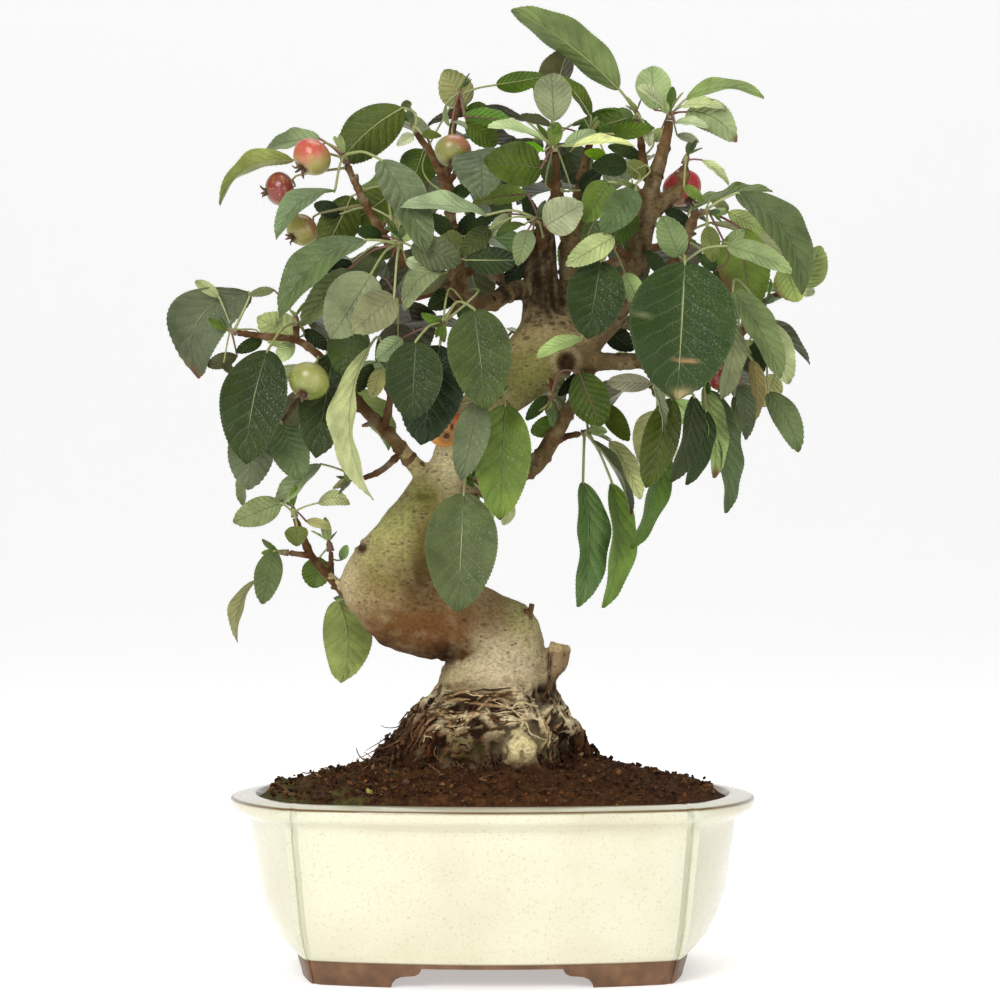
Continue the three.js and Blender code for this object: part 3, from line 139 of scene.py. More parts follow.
def lobes(half_width, half_depth, groove_x, groove_y, notch, long=26, short=18):
    """One level of the pot in plan, counter-clockwise from the front right groove, in mm."""
    def arc(half, reach, count):
        rise = reach - (groove_y if half == groove_x else groove_x)
        radius = (half * half + rise * rise) / (2 * rise)
        spread = math.asin(half / radius) * 0.955
        turns = [spread * (2 * i / count - 1) for i in range(count + 1)]
        return [(radius * math.sin(turn), reach - radius + radius * math.cos(turn)) for turn in turns]

    side = arc(groove_y, half_width, short)
    front = arc(groove_x, half_depth, long)
    dent = [(groove_x - notch * in_x, groove_y - notch * in_y)
            for in_x, in_y in ((0.15, 0.75), (0.4, 1), (0.75, 0.6))]
    ring = [(x, -y) for x, y in reversed(dent)]
    ring += [(r, s) for s, r in side] + dent + [(-s, r) for s, r in front]
    ring += [(-x, y) for x, y in reversed(dent)] + [(-r, -s) for s, r in side] + [(-x, -y) for x, y in dent]
    ring += [(s, -r) for s, r in front]
    return ring


def loft(name, rings):
    """A closed skin over rings of points in mm: a disc is added, extruded ring by ring, then fitted."""
    bpy.ops.object.select_all(action="DESELECT")
    bpy.ops.mesh.primitive_circle_add(vertices=len(rings[0]), fill_type="NGON")
    piece = bpy.context.object
    piece.name = piece.data.name = name
    bpy.ops.object.mode_set(mode="EDIT")
    bpy.ops.mesh.select_all(action="SELECT")
    for _ in rings[1:]:
        bpy.ops.mesh.extrude_region_move(TRANSFORM_OT_translate={"value": (0, 0, 1)})
    bpy.ops.object.mode_set(mode="OBJECT")
    level = {}
    for vertex in piece.data.vertices:
        level.setdefault(round(vertex.co.z), []).append(vertex)
    for z, ring in zip(sorted(level), rings):
        corners = sorted(level[z], key=lambda v: math.atan2(v.co.y, v.co.x) % (2 * math.pi))
        for vertex, point in zip(corners, ring):
            vertex.co = Vector(point) / 1000
    bpy.ops.object.mode_set(mode="EDIT")
    bpy.ops.mesh.select_all(action="SELECT")
    bpy.ops.mesh.normals_make_consistent(inside=False)
    bpy.ops.object.mode_set(mode="OBJECT")
    return piece


def cut(piece, tool):
    work = piece.modifiers.new("work", "BOOLEAN")
    work.object = tool
    work.operation = "DIFFERENCE"
    work.solver = "EXACT"
    bpy.ops.object.select_all(action="DESELECT")
    bpy.context.view_layer.objects.active = piece
    piece.select_set(True)
    bpy.ops.object.modifier_apply(modifier="work")
    bpy.data.objects.remove(tool)


pot = loft("pot_fired", [[(x, y, level[0]) for x, y in lobes(*level[1:])] for level in POT_LEVELS])
foot_plan = (81, 65.5, 73.5, 52)


def foot_ring(z, inset, notch=1.5):
    w, d, gx, gy = foot_plan
    return [(x, y, z) for x, y in lobes(w - inset, d - inset, gx - 0.8 * inset, gy - 0.8 * inset, notch)]


feet = loft("feet", [foot_ring(z, out) for z, out in ((0, 3.7), (0.5, 3.3), (4, 2.5), (8.6, 1.3), (9.6, 1.4))])
cut(feet, loft("inside", [foot_ring(-1, 12), foot_ring(8.9, 12)]))


def bracket(reach, toe, heel, turn):
    """The cloud-shaped opening between two feet, as a bar that is cut away."""
    half = [(toe, -1), (toe, 0), (toe - 0.5, 1.8), (toe - 1.8, 3.4), (toe - 3.8, 4.3), (toe - 5.9, 4.6),
            (heel + 2.7, 4.9), (heel + 1.3, 5.6), (heel + 0.4, 6.6), (heel, 7.8)]
    outline = [(x, z) for x, z in half] + [(-x, z) for x, z in reversed(half)]
    bar = loft("bracket", [[(x, y, z) for x, z in outline] for y in (-reach, reach)])
    bar.data.transform(Matrix.Rotation(turn, 4, "Z"))
    return bar


cut(feet, bracket(90, 39.5, 27.6, 0))
cut(feet, bracket(100, 26, 16.6, math.pi / 2))
for x in (-38, 38):
    bpy.ops.mesh.primitive_cylinder_add(vertices=32, radius=0.0075, depth=0.04, location=(x / 1000, 0, 0.012))
    bpy.ops.object.transform_apply(location=True)
    cut(pot, bpy.context.object)
bpy.ops.object.select_all(action="DESELECT")
feet.select_set(True)
pot.select_set(True)
bpy.context.view_layer.objects.active = pot
bpy.ops.object.join()
bpy.ops.object.shade_smooth_by_angle(angle=math.radians(34))


class Wires:
    """Short ways to add nodes to a tree: an input takes an output of another node or a constant."""

    def __init__(self, tree):
        self.tree = tree
        self.here = self.node("TexCoord").outputs["Object"]

    def node(self, kind, inputs=None, **settings):
        made = self.tree.nodes.new("ShaderNode" + kind)
        for key, value in settings.items():
            setattr(made, key, value)
        for key, value in (inputs or {}).items():
            if isinstance(value, bpy.types.NodeSocket):
                self.tree.links.new(value, made.inputs[key])
            else:
                made.inputs[key].default_value = value
        return made

    def math(self, operation, *values):
        return self.node("Math", dict(enumerate(values)), operation=operation).outputs[0]

    def noise(self, scale, detail=2.0, where=None, roughness=0.5):
        inputs = {"Vector": where or self.here, "Scale": scale, "Detail": detail, "Roughness": roughness}
        return self.node("TexNoise", inputs).outputs["Fac"]

    def cells(self, scale, feature="F1", where=None):
        return self.node("TexVoronoi", {"Vector": where or self.here, "Scale": scale}, feature=feature).outputs["Distance"]


class Shader(Wires):
    def __init__(self, name, roughness, **sockets):
        self.material = bpy.data.materials.new(name)
        self.material.use_nodes = True
        super().__init__(self.material.node_tree)
        self.skin = self.tree.nodes["Principled BSDF"]
        self.skin.inputs["Roughness"].default_value = roughness
        for socket, value in sockets.items():
            self.skin.inputs[socket.replace("_", " ")].default_value = value

    def painted(self, layer="tone"):
        return self.node("VertexColor", layer_name=layer).outputs["Color"]

    def ramp(self, value, *stops):
        made = self.node("ValToRGB", {"Fac": value})
        while len(made.color_ramp.elements) < len(stops):
            made.color_ramp.elements.new(0.5)
        for element, (place, colour) in zip(made.color_ramp.elements, stops):
            element.position = place
            element.color = (*colour, 1) if isinstance(colour, tuple) else (colour, colour, colour, 1)
        return made.outputs["Color"]

    def mix(self, share, first, second):
        share, first, second = ((*value, 1) if isinstance(value, tuple) else value for value in (share, first, second))
        return self.node("Mix", {0: share, 6: first, 7: second}, data_type="RGBA").outputs[2]

    def finish(self, colour, height=None, distance=0.001, strength=0.5, rough=None):
        self.tree.links.new(colour, self.skin.inputs["Base Color"])
        if rough is not None:
            self.tree.links.new(rough, self.skin.inputs["Roughness"])
        if height is not None:
            bump = self.node("Bump", {"Height": height, "Distance": distance, "Strength": strength})
            self.tree.links.new(bump.outputs["Normal"], self.skin.inputs["Normal"])
        return self.material


def paint(piece, name, values):
    """Stores one colour for each vertex of the piece, for its material to read."""
    layer = piece.data.color_attributes.new(name, "FLOAT_COLOR", "POINT")
    colours = np.ones((len(piece.data.vertices), 4), np.float32)
    colours[:, :3] = values
    layer.data.foreach_set("color", colours.ravel())


def points_of(piece):
    co = np.empty(len(piece.data.vertices) * 3, np.float32)
    piece.data.vertices.foreach_get("co", co)
    return co.reshape(-1, 3)


def cap(value, most=1):
    """Values kept between none and the most of something."""
    return np.clip(value, 0, most)


# Wear: red is the brown arris of the rim, green the thick glaze of the grooves, blue bare clay.
co = points_of(pot) * 1000
outside = np.array(POT_LEVELS[:14])
shape_x, shape_y = (np.interp(co[:, 2], outside[:, 0], outside[:, k]) for k in (3, 4))
groove = np.exp(-((np.hypot(np.abs(co[:, 0]) - shape_x, np.abs(co[:, 1]) - shape_y) / 4.2) ** 2))
inside = np.array([v.normal.x * v.co.x + v.normal.y * v.co.y < 0 for v in pot.data.vertices])
arris = (co[:, 2] > 69.6) & (co[:, 2] < 70.45) & ~inside & (np.abs(co[:, 0]) + np.abs(co[:, 1]) > 70)
mouth = (co[:, 2] > 70) & (co[:, 2] < 71.6) & inside
bare = (co[:, 2] < 9.9)
paint(pot, "wear", np.stack([cap(arris + 0.8 * mouth), groove * ~bare, bare], 1))

glaze = Shader("glaze", 0.18, Coat_Weight=0.25, Coat_Roughness=0.08)
wear = glaze.node("SeparateColor", {"Color": glaze.painted("wear")}).outputs
body = glaze.ramp(glaze.noise(22.0, 4.0),
                  (0.3, linear(206, 200, 171)), (0.55, linear(216, 211, 185)), (0.8, linear(222, 219, 196)))
pooled = glaze.mix(wear["Green"], body, linear(204, 206, 184))
speckled = glaze.mix(glaze.ramp(glaze.noise(900.0), (0.58, 0.0), (0.74, 0.4)), pooled, linear(166, 150, 112))
crazing = glaze.ramp(glaze.cells(260.0, "DISTANCE_TO_EDGE"), (0.0, 0.07), (0.03, 0.0))
lined = glaze.mix(wear["Red"], glaze.mix(crazing, speckled, linear(150, 138, 104)), linear(112, 86, 44))
earth = glaze.ramp(glaze.noise(160.0, 6.0),
                   (0.3, linear(90, 62, 38)), (0.55, linear(112, 78, 50)), (0.8, linear(130, 94, 62)))
rough = glaze.ramp(wear["Blue"], (0.0, 0.17), (1.0, 0.8))
outside = glaze.mix(wear["Blue"], lined, earth)
pot.data.materials.append(glaze.finish(outside, glaze.noise(420.0, 3.0), 0.0003, 0.25, rough))
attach(pot, "root")
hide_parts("pot")

# ---------------------------------------------------------------- drain screens
# Two squares of moulded plastic mesh over the drain holes, under the soil.
plastic = Shader("screen_plastic", 0.55)
grain = plastic.noise(700.0, 3.0)
shades = plastic.ramp(grain, (0.3, linear(30, 31, 33)), (0.7, linear(52, 54, 56)))
screen_plastic = plastic.finish(shades, grain, 0.0002, 0.4)
for side in ("left", "right"):
    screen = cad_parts["drain_screen_" + side]
    screen.data.materials.clear()
    screen.data.materials.append(screen_plastic)

# ---------------------------------------------------------------- soil
# Dark, damp crumbs of peat and fired clay, heaped up round the root flare, with gravel, bits of bark
# and fine roots lying on top. One lumpy heap, and the loose bits as a second piece of small stones.
def heap(x, y):
    """Height of the soil in mm."""
    slope = math.exp(-(x * x) / (2 * 58 ** 2) - (y * y) / (2 * 44 ** 2))
    return 66.5 + 24 * slope + 0.7 * math.sin(0.21 * x + 1) * math.cos(0.17 * y) + 0.5 * math.sin(0.4 * x - 0.3 * y)


def crumbs(x, y):
    near = noise.noise(Vector((x, y, 0)) * 0.28) * 1.6 + noise.noise(Vector((x, y, 5)) * 0.7) * 1.1
    return heap(x, y) + near + noise.noise(Vector((x, y, 9)) * 0.12) * 1.4


def stir(points, scale, shift=(0, 0, 0)):
    """Smooth noise at many points."""
    return np.array([noise.noise(Vector(p) * scale + Vector(shift)) for p in points])


BRIM_Z = 69.6
brim = lobes(94.6, 68.9, 76.1, 56.8, 1.5, 40, 26)
rows = [[(x, y, z) for x, y in lobes(*level, 1.5, 40, 26)]
        for z, level in ((17.4, (81.05, 61.05, 69.8, 49.3)), (50, (90, 64.6, 73.2, 53.5)),
                         (62.5, (91.35, 65.55, 73.8, 54.3)))]
for k in range(64):
    share = (1 - k / 64) ** 0.9
    full = min(1, (1 - share) / 0.06)
    rows.append([(x * share, y * share, crumbs(x * share, y * share) * full + BRIM_Z * (1 - full)) for x, y in brim])
soil = loft("soil_heap", rows)
bpy.ops.object.shade_smooth()
co = points_of(soil) * 1000
dark = stir(co, 0.35)
moss = cap((stir(co, 0.11, (3, 0, 0)) - 0.12) * 4) * cap((-co[:, 0] - 25) / 30)
moss = cap(moss + cap((-co[:, 0] - 72 + 12 * dark) / 10, 0.8))
tone = np.outer(0.5 + 0.5 * dark, linear(112, 72, 40)) + np.outer(0.5 - 0.5 * dark, linear(34, 17, 8))
tone = tone * (1 - 0.75 * moss[:, None]) + np.outer(0.75 * moss, linear(98, 98, 52))
paint(soil, "tone", tone)


def soil_shader(name, rough, grain):
    earth = Shader(name, rough, Specular_IOR_Level=0.12)
    tone = earth.painted()
    fine = earth.noise(grain, 6.0, roughness=0.7)
    speck = earth.mix(earth.ramp(fine, (0.36, 0.0), (0.62, 1.0)), earth.mix(0.7, tone, linear(16, 8, 4)), tone)
    bright = earth.mix(earth.ramp(earth.noise(grain * 1.7), (0.66, 0.0), (0.72, 0.8)), speck, linear(150, 116, 78))
    return earth.finish(bright, fine, 0.0012, 0.9)


soil.data.materials.append(soil_shader("soil_crumb", 0.92, 520.0))
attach(soil, "root")
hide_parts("soil")

bpy.ops.object.select_all(action="DESELECT")
bpy.ops.mesh.primitive_ico_sphere_add(subdivisions=1, radius=1)
clod = bpy.context.object
clod_points = points_of(clod)
clod_faces = np.array([list(p.vertices) for p in clod.data.polygons])
bpy.data.objects.remove(clod)


def any_way(draw, reach=1.0):
    return Vector([draw.uniform(-reach, reach) for _ in range(3)])


def scatter(name, many):
    """Copies one rough clod many times: (place, size, colour) each, every one squashed and turned."""
    draw = random.Random(7)
    places, faces, tones = [], [], []
    for place, size, colour in many:
        turn = np.array(Matrix.Rotation(draw.uniform(0, 6.3), 3, any_way(draw))
                        @ Matrix.Diagonal((draw.uniform(0.7, 1.3), draw.uniform(0.6, 1.1), draw.uniform(0.5, 0.9))))
        rough = clod_points * np.array([draw.uniform(0.82, 1.18) for _ in range(12)])[:, None]
        faces.append(clod_faces + 12 * len(places))
        places.append(rough @ turn.T * size / 2000 + np.array(place) / 1000)
        light = draw.uniform(0.75, 1.25)
        tones.append(np.tile(linear(*[c * light for c in colour]), (12, 1)))
    mesh = bpy.data.meshes.new(name)
    mesh.from_pydata(np.concatenate(places).tolist(), [], np.concatenate(faces).tolist())
    piece = bpy.data.objects.new(name, mesh)
    bpy.context.scene.collection.objects.link(piece)
    paint(piece, "tone", np.concatenate(tones))
    mesh.materials.append(soil_shader(name + "_stone", 0.85, 900.0))
    return piece



# ---------------------------------------------------------------- trunk and branches
# One old crabapple: a root flare torn and ridged like rope, a trunk bent once round to the left, a burl
# with a pruning scar, a sawn-off leader and thin branches. Smooth tan-grey bark, greenish where it faces
# the sky, red-brown below, with painted shade on the underside and in every hollow, and dark lenticels;
# the young wood is dark red-brown.
# Squares across, squares down, depth in mm and radius in mm, from the thick end.
TRUNK = [
  [[500, 655, -2, 19], [498, 638, -4, 18], [488, 626, -6, 16.4], [468, 621, -8, 16], [450, 621, -10, 17.4]],
  [[478, 622, -8, 15.5], [450, 619, -10, 17], [422, 606, -12, 19.4], [398, 596, -12, 20.4],
   [380, 590, -12, 17.4], [362, 583, -11, 10]],
  [[388, 604, -12, 15.5], [386, 586, -12, 19], [396, 560, -11, 16.6], [406, 537, -10, 14.4],
   [421, 513, -8, 12], [433, 494, -6, 10.6], [450, 470, -3, 9], [460, 440, -2, 8.4],
   [478, 412, -1, 8.8], [506, 392, 0, 9.4],
   [528, 368, 0, 13], [545, 348, 0, 14.4], [556, 330, 1, 12], [560, 316, 2, 7]],
]
LIMBS = {
  "leader": [[540, 345, 2, 9], [541, 290, 3, 7.3], [540, 255, 4, 6.9], [540, 231, 2, 6]],
  "light": [[570, 335, 6, 6], [569, 280, 10, 4.6], [570, 245, 11, 4.4], [580, 200, 10, 3.3],
    [585, 165, 7, 2.2], [590, 143, 4, 1.5]],
  "right": [[575, 352, -2, 7.5], [592, 338, -4, 6], [615, 312, -6, 5.3], [632, 275, -10, 4.9],
    [640, 240, -12, 5.2], [646, 210, -12, 5]],
  "rightForkLeft": [[645, 214, -12, 4.2], [652, 186, -12, 3.6], [661, 158, -11, 3],
    [667, 135, -10, 2.3], [669, 121, -10, 1.7]],
  "rightForkRight": [[643, 216, -12, 4.2], [662, 204, -12, 3.6], [678, 190, -13, 2.9],
    [684, 178, -14, 2.4], [684, 166, -14, 1.8]],
  "rightInner": [[622, 300, -7, 3.7], [655, 288, -8, 3.4], [675, 262, -12, 3], [688, 232, -18, 2.5],
    [696, 212, -22, 1.7]],
  "rightLow": [[575, 362, -4, 4.4], [600, 362, -6, 3.8], [640, 361, -8, 3.3], [690, 357, -8, 2.8],
    [735, 338, -7, 2.2], [757, 312, -4, 1.4]],
  "left": [[535, 290, 2, 4.4], [512, 291, -5, 4.1], [490, 303, -12, 3.7], [462, 298, -20, 3.2],
    [449, 281, -27, 2.6], [455, 266, -30, 1.6]],
  "leftOuter": [[452, 284, -26, 2.7], [425, 270, -32, 2.8], [405, 260, -37, 2.3], [399, 250, -40, 1.5]],
  "lowLeft": [[438, 486, -5, 4.6], [412, 462, -9, 3.5], [395, 441, -11, 3.1], [380, 425, -12, 2.9],
    [366, 411, -13, 2.7],
    [350, 392, -14, 2.3], [330, 368, -15, 2],
    [316, 353, -14, 1.8], [296, 340, -12, 1.7], [262, 336, -10, 1.5], [238, 333, -8, 1.3]],
  "lowRight": [[450, 480, -5, 5], [478, 487, -8, 4.4], [505, 478, -10, 4.1], [534, 466, -9, 4],
    [552, 440, -7, 3.7],
    [568, 412, -7, 3.2], [580, 392, -6, 2.8], [592, 368, -5, 2.4]],
  "lowShoot": [[358, 602, -7, 3], [340, 588, -7, 2.2], [325, 572, -8, 1.9], [312, 557, -9, 1.8],
    [304, 540, -10, 1.6], [295, 518, -10, 1.2]],
  "backLeft": [[541, 300, 6, 4.4], [510, 285, 18, 3.4], [480, 262, 27, 2.7], [455, 240, 34, 1.4]],
  "backRight": [[570, 290, 12, 4], [590, 270, 24, 3.1], [600, 245, 32, 2.4], [605, 215, 37, 1.4]],
  "backRightOuter": [[610, 318, -4, 3.6], [640, 325, 12, 2.8], [675, 328, 24, 2.1], [700, 326, 30, 1.4]],
  "backMiddle": [[548, 350, 8, 4], [535, 362, 24, 2.6], [515, 362, 33, 1.9], [500, 352, 38, 1.4]],
}
TWIGS = {
  "top_left_tip": [[405, 260, -37, 2.2], [386, 240, -32, 2], [364, 201, -25, 1.8], [347, 165, -18, 1.4]],
  "left_twig_mid": [[382, 233, -31, 1.5], [389, 229, -35, 1.2]],
  "front_left": [[464, 299, -20, 2], [452, 312, -34, 1.6], [445, 322, -46, 1.3]],
  "top_bud": [[464, 299, -19, 2.9], [458, 262, -16, 2.6], [452, 225, -8, 2.4], [449, 200, -2, 2.3],
    [447, 165, 3, 2],
    [452, 132, 8, 1.7], [459, 100, 12, 1.2]],
  "top_left_twig": [[450, 202, -2, 2.1], [437, 165, 2, 1.8], [417, 134, 5, 1.3]],
  "top_left_inner": [[448, 184, 1, 1.6], [455, 174, -4, 1.2]],
  "top_centre": [[541, 246, 0, 3], [548, 212, -8, 2.4], [556, 190, -16, 2], [555, 153, -25, 1.3]],
  "centre_front": [[543, 246, -2, 2.4], [540, 230, -15, 1.8], [538, 221, -24, 1.4]],
  "top_right_twig": [[652, 190, -11, 2.3], [643, 160, -3, 1.8], [640, 123, 4, 1.3]],
  "right_hang": [[678, 256, -13, 2], [682, 254, -26, 1.7], [683, 253, -40, 1.3]],
  "mid_spur": [[633, 262, -11, 2.2], [622, 252, -19, 1.6], [614, 247, -26, 1.2]],
  "fork_front": [[650, 196, -12, 1.8], [643, 193, -17, 1.5], [637, 190, -21, 1.2]],
  "right_far": [[735, 337, -7, 1.8], [762, 304, 7, 1.5], [784, 292, 0, 1.2]],
  "right_low_mid": [[735, 338, -7, 1.6], [737, 342, -13, 1.2]],
  "right_low_inner": [[702, 352, -8, 1.7], [702, 366, -11, 1.2]],
  "right_low_front": [[662, 359, -8, 1.7], [665, 372, -12, 1.2]],
  "left_low_side": [[297, 341, -12, 1.6], [296, 326, -14, 1.2]],
  "left_low_mid": [[333, 371, -15, 1.7], [342, 352, -18, 1.2]],
  "left_low_fork": [[384, 429, -12, 1.9], [390, 400, -17, 1.6], [390, 378, -22, 1.2]],
  "left_low_hang": [[331, 369, -15, 1.7], [305, 392, -12, 1.5], [286, 418, -10, 1.2]],
  "left_low_twig": [[402, 452, -10, 1.7], [382, 470, -9, 1.4], [364, 478, -8, 1.2]],
  "low_right_spur": [[553, 440, -7, 2], [568, 436, 0, 1.5], [579, 434, 5, 1.2]],
  "burl_under": [[548, 372, -5, 2], [551, 392, -12, 1.2]],
  "trunk_front_low": [[462, 474, -3, 2], [467, 478, -14, 1.2]],
  "trunk_front_high": [[498, 396, -3, 2], [500, 393, -16, 1.2]],
  "low_shoot_side": [[312, 556, -9, 1.6], [290, 553, -12, 1.1]],
  "low_shoot_inner": [[331, 578, -7, 1.6], [331, 553, 2, 1.1]],
  "bend_back": [[372, 598, -2, 2.2], [352, 600, 22, 1.2]],
  "back_left_low": [[482, 263, 26, 2.2], [440, 290, 31, 1.8], [405, 300, 32, 1.3]],
  "back_left_top": [[497, 275, 22, 2.2], [470, 215, 26, 1.8], [436, 168, 24, 1.3]],
  "back_right_high": [[588, 272, 23, 2.4], [635, 255, 27, 2], [675, 240, 28, 1.3]],
  "back_top": [[571, 262, 11, 2.2], [560, 195, 22, 1.8], [550, 150, 25, 1.3]],
  "back_right_low": [[638, 325, 12, 2], [650, 365, 26, 1.7], [655, 395, 32, 1.2]],
  "back_left_far": [[368, 413, -12, 2], [340, 395, 10, 1.8], [325, 375, 22, 1.2]],
}
FLARE = [  # height, middle, half width, half depth, how far the root ridges stand out, in mm
    (60, -3, 37, 31, 0.04), (66, -3, 39, 32, 0.05), (79, -4, 46, 38, 0.08), (86, -4, 44, 36.5, 0.09),
    (97, -2.5, 38, 32, 0.09), (108, -1, 30, 27, 0.07), (120, 1.5, 23, 22.5, 0.03), (132, 3, 17, 17, 0.01),
]


def flare_at(z):
    """Middle, half width, half depth and ridges of the flare at a height."""
    return (np.interp(z, [level[0] for level in FLARE], [level[k] for level in FLARE]) for k in (1, 2, 3, 4))


def on_flare(angle, z, out=0):
    """A point on the skin of the flare, in mm."""
    middle, wide, deep, ridge = flare_at(z)
    swell = 1 + ridge * (math.sin(5 * angle + 0.6) + 0.6 * math.sin(8 * angle + 2))
    return (middle + (wide * swell + out) * math.cos(angle), (deep * swell + out) * math.sin(angle) - 1, z)


def strand(rows, step=1.5):
    """A smooth run of (place, radius) through rows of layout squares."""
    run = [(at(u, v, depth), r / 1000) for u, v, depth, r in rows]
    return smooth_run(run, step)


def smooth_run(run, step=1.5):
    ends = [run[0]] + run + [run[-1]]
    made = []
    for before, start, stop, after in zip(ends, ends[1:], ends[2:], ends[3:]):
        count = max(2, round((stop[0] - start[0]).length * 1000 / step))
        for k in range(count):
            t = k / count
            shares = (-t + 2 * t * t - t ** 3, 2 - 5 * t * t + 3 * t ** 3, t + 4 * t * t - 3 * t ** 3, t ** 3 - t * t)
            place = sum((p[0] * (share / 2) for p, share in zip((before, start, stop, after), shares)), Vector())
            made.append((place, start[1] + (stop[1] - start[1]) * t))
    return made + [run[-1]]


def sweep(name, strands, sides):
    """Round limbs as one bevelled curve of many runs, made a mesh."""
    bpy.ops.object.select_all(action="DESELECT")
    bpy.ops.curve.primitive_nurbs_path_add(location=(0, 0, 0))
    piece = bpy.context.object
    piece.name = name
    piece.data.splines.clear()
    piece.data.bevel_depth = 1
    piece.data.bevel_resolution = (sides - 4) // 2
    piece.data.use_fill_caps = True
    for run in strands:
        spline = piece.data.splines.new("POLY")
        spline.points.add(len(run) - 1)
        for point, (place, radius) in zip(spline.points, run):
            point.co = (*place, 1)
            point.radius = radius
    bpy.ops.object.convert(target="MESH")
    piece.data.name = name
    return piece


def join(first, *others):
    bpy.ops.object.select_all(action="DESELECT")
    for piece in (first, *others):
        piece.select_set(True)
    bpy.context.view_layer.objects.active = first
    bpy.ops.object.join()
    return first


def neighbours_smooth(co, ends, times):
    """Each point moved to the middle of its neighbours, a few times over."""
    count = np.bincount(ends.ravel(), minlength=len(co))[:, None]
    for _ in range(times):
        total = [np.bincount(ends[:, 0], axis[ends[:, 1]], len(co))
                 + np.bincount(ends[:, 1], axis[ends[:, 0]], len(co)) for axis in co.T]
        co = np.stack(total, 1) / np.maximum(count, 1)
    return co


draw = random.Random(11)
thick = [strand(rows, 3) for rows in TRUNK] + [strand(LIMBS[n], 3) for n in ("leader", "right")]
thick += [strand(rows[:3], 3)[: 9 if n not in ("lowLeft", "lowRight", "left", "rightLow") else 14]
          for n, rows in LIMBS.items() if n not in ("leader", "right")]
thick.append(strand([[520, 664, -5, 12], [532, 663, -6, 10.4], [540, 662, -6, 7]], 2))
for u0, u1, depth, top, r in ((548, 551, -14, 639, 1.7), (550, 559, -13, 643, 2.4), (554, 567, -9, 644, 2.5),
                              (552, 562, -4, 648, 2.8), (546, 555, -9, 646, 3.2)):  # the sawn stub
    thick.append(strand([[u0, 696, depth, r * 0.6], [u0 + 2, 678, depth, r],
                         [(u0 + u1) / 2 + 2, 660, depth, r * 1.1], [u1, top, depth, r * 0.8]], 1.5))


def on_front(u, v, out, r):
    """A point of a band laid over the front of the flare."""
    x, z = EYE_MIDDLE_MM[0] + (u - 500) * 0.4, EYE_MIDDLE_MM[1] - (v - 500) * 0.4
    middle, wide, _, _ = flare_at(z)
    return Vector(on_flare(-math.acos(max(-0.98, min(0.98, (x - middle) / wide))), z, out)) / 1000, r / 1000


for band in (((430, 714), (446, 705), (470, 700), (500, 701), (530, 707), (554, 719), (570, 736), (578, 752)),
             ((448, 726), (462, 717), (484, 712), (510, 714), (534, 722), (548, 736), (554, 754)),
             ((438, 701), (456, 693), (482, 689), (510, 691), (534, 699), (548, 708)),
             ((486, 724), (498, 722), (512, 722), (530, 727), (541, 738), (545, 752)),
             ((424, 726), (432, 716), (442, 712), (452, 714))):
    thick.append(smooth_run([on_front(u, v, -0.6, 2.5 + 0.9 * math.sin(3 * k + band[0][0]))
                             for k, (u, v) in enumerate(band)], 1.5))
for _ in range(46):  # torn fibres wrapped round the neck of the flare
    start, turn, height = draw.uniform(0, 6.28), draw.uniform(0.5, 1.5), draw.uniform(98, 124)
    drop, fat = draw.uniform(-4, 4), draw.uniform(0.8, 1.8)
    thick.append([(Vector(on_flare(start + turn * k / 12, height + drop * k / 12 + 1.2 * math.sin(k * 0.9 + start),
                                   -0.75 * fat)) / 1000,
                   fat * (0.35 + 0.65 * math.sin(math.pi * (k + 0.5) / 13)) / 1000) for k in range(13)])
for k in range(26):  # roots that run down into the soil
    start, lean = k * 0.245 + draw.uniform(-0.1, 0.1), draw.uniform(-0.25, 0.25)
    top, fat = draw.uniform(96, 112), draw.uniform(1.8, 4.6)
    thick.append([(Vector(on_flare(start + lean * i / 9, top + (66 - top) * i / 9,
                                   -0.6 * fat + 0.6 * math.sin(i + start))) / 1000,
                   fat * (0.6 + 0.4 * i / 9) / 1000) for i in range(10)])
trunk = sweep("trunk_wood", thick, 20)
rings = [[on_flare(-math.pi / 2 + 0.2 + 2 * math.pi * i / 60, z) for i in range(60)]
         for z in np.linspace(62, 131, 18)]
lumps = [loft("flare_core", rings)]
for u, v, depth, r, squash in ((521, 748, -33, 9.2, 0.9), (461, 744, -31, 9, 0.85), (440, 734, -27, 8, 0.9),
                               (567, 728, -16, 7.6, 0.8), (492, 738, -31, 7, 0.7), (548, 738, -27, 8, 0.8),
                               (428, 722, -18, 7, 0.9), (552, 708, -14, 6.6, 0.7), (418, 738, 12, 8, 0.8),
                               (470, 730, 30, 8, 0.8), (530, 735, 29, 9, 0.8)):
    bpy.ops.mesh.primitive_ico_sphere_add(subdivisions=3, radius=r / 1000, location=at(u, v, depth),
                                          scale=(1, 1, squash))
    bpy.ops.object.transform_apply(location=True, rotation=True, scale=True)
    lumps.append(bpy.context.object)
trunk = join(trunk, *lumps)
remesh = trunk.modifiers.new("grown together", "REMESH")
remesh.mode = "VOXEL"
remesh.voxel_size = 0.00105
bpy.context.view_layer.objects.active = trunk
bpy.ops.object.modifier_apply(modifier="grown together")


KNOB = at(521, 743, -29) * 1000


def levels_of(p):
    """Height as the torn fibres see it: they sag and rise round the flare and arch over the knob."""
    turn = math.atan2(p[1], p[0])
    sag = 2.6 * math.sin(2 * turn + 0.8) + 1.6 * math.sin(5 * turn)
    sag += 6 * noise.noise(Vector(p) * 0.06) + 2.2 * noise.noise(Vector(p) * 0.2)
    far = math.hypot(p[0] - KNOB.x, p[2] - KNOB.z)
    near = math.exp(-(far / 17) ** 2) * (p[1] < 0)
    return (p[2] + sag) * (1 - near) + (KNOB.z + far) * near


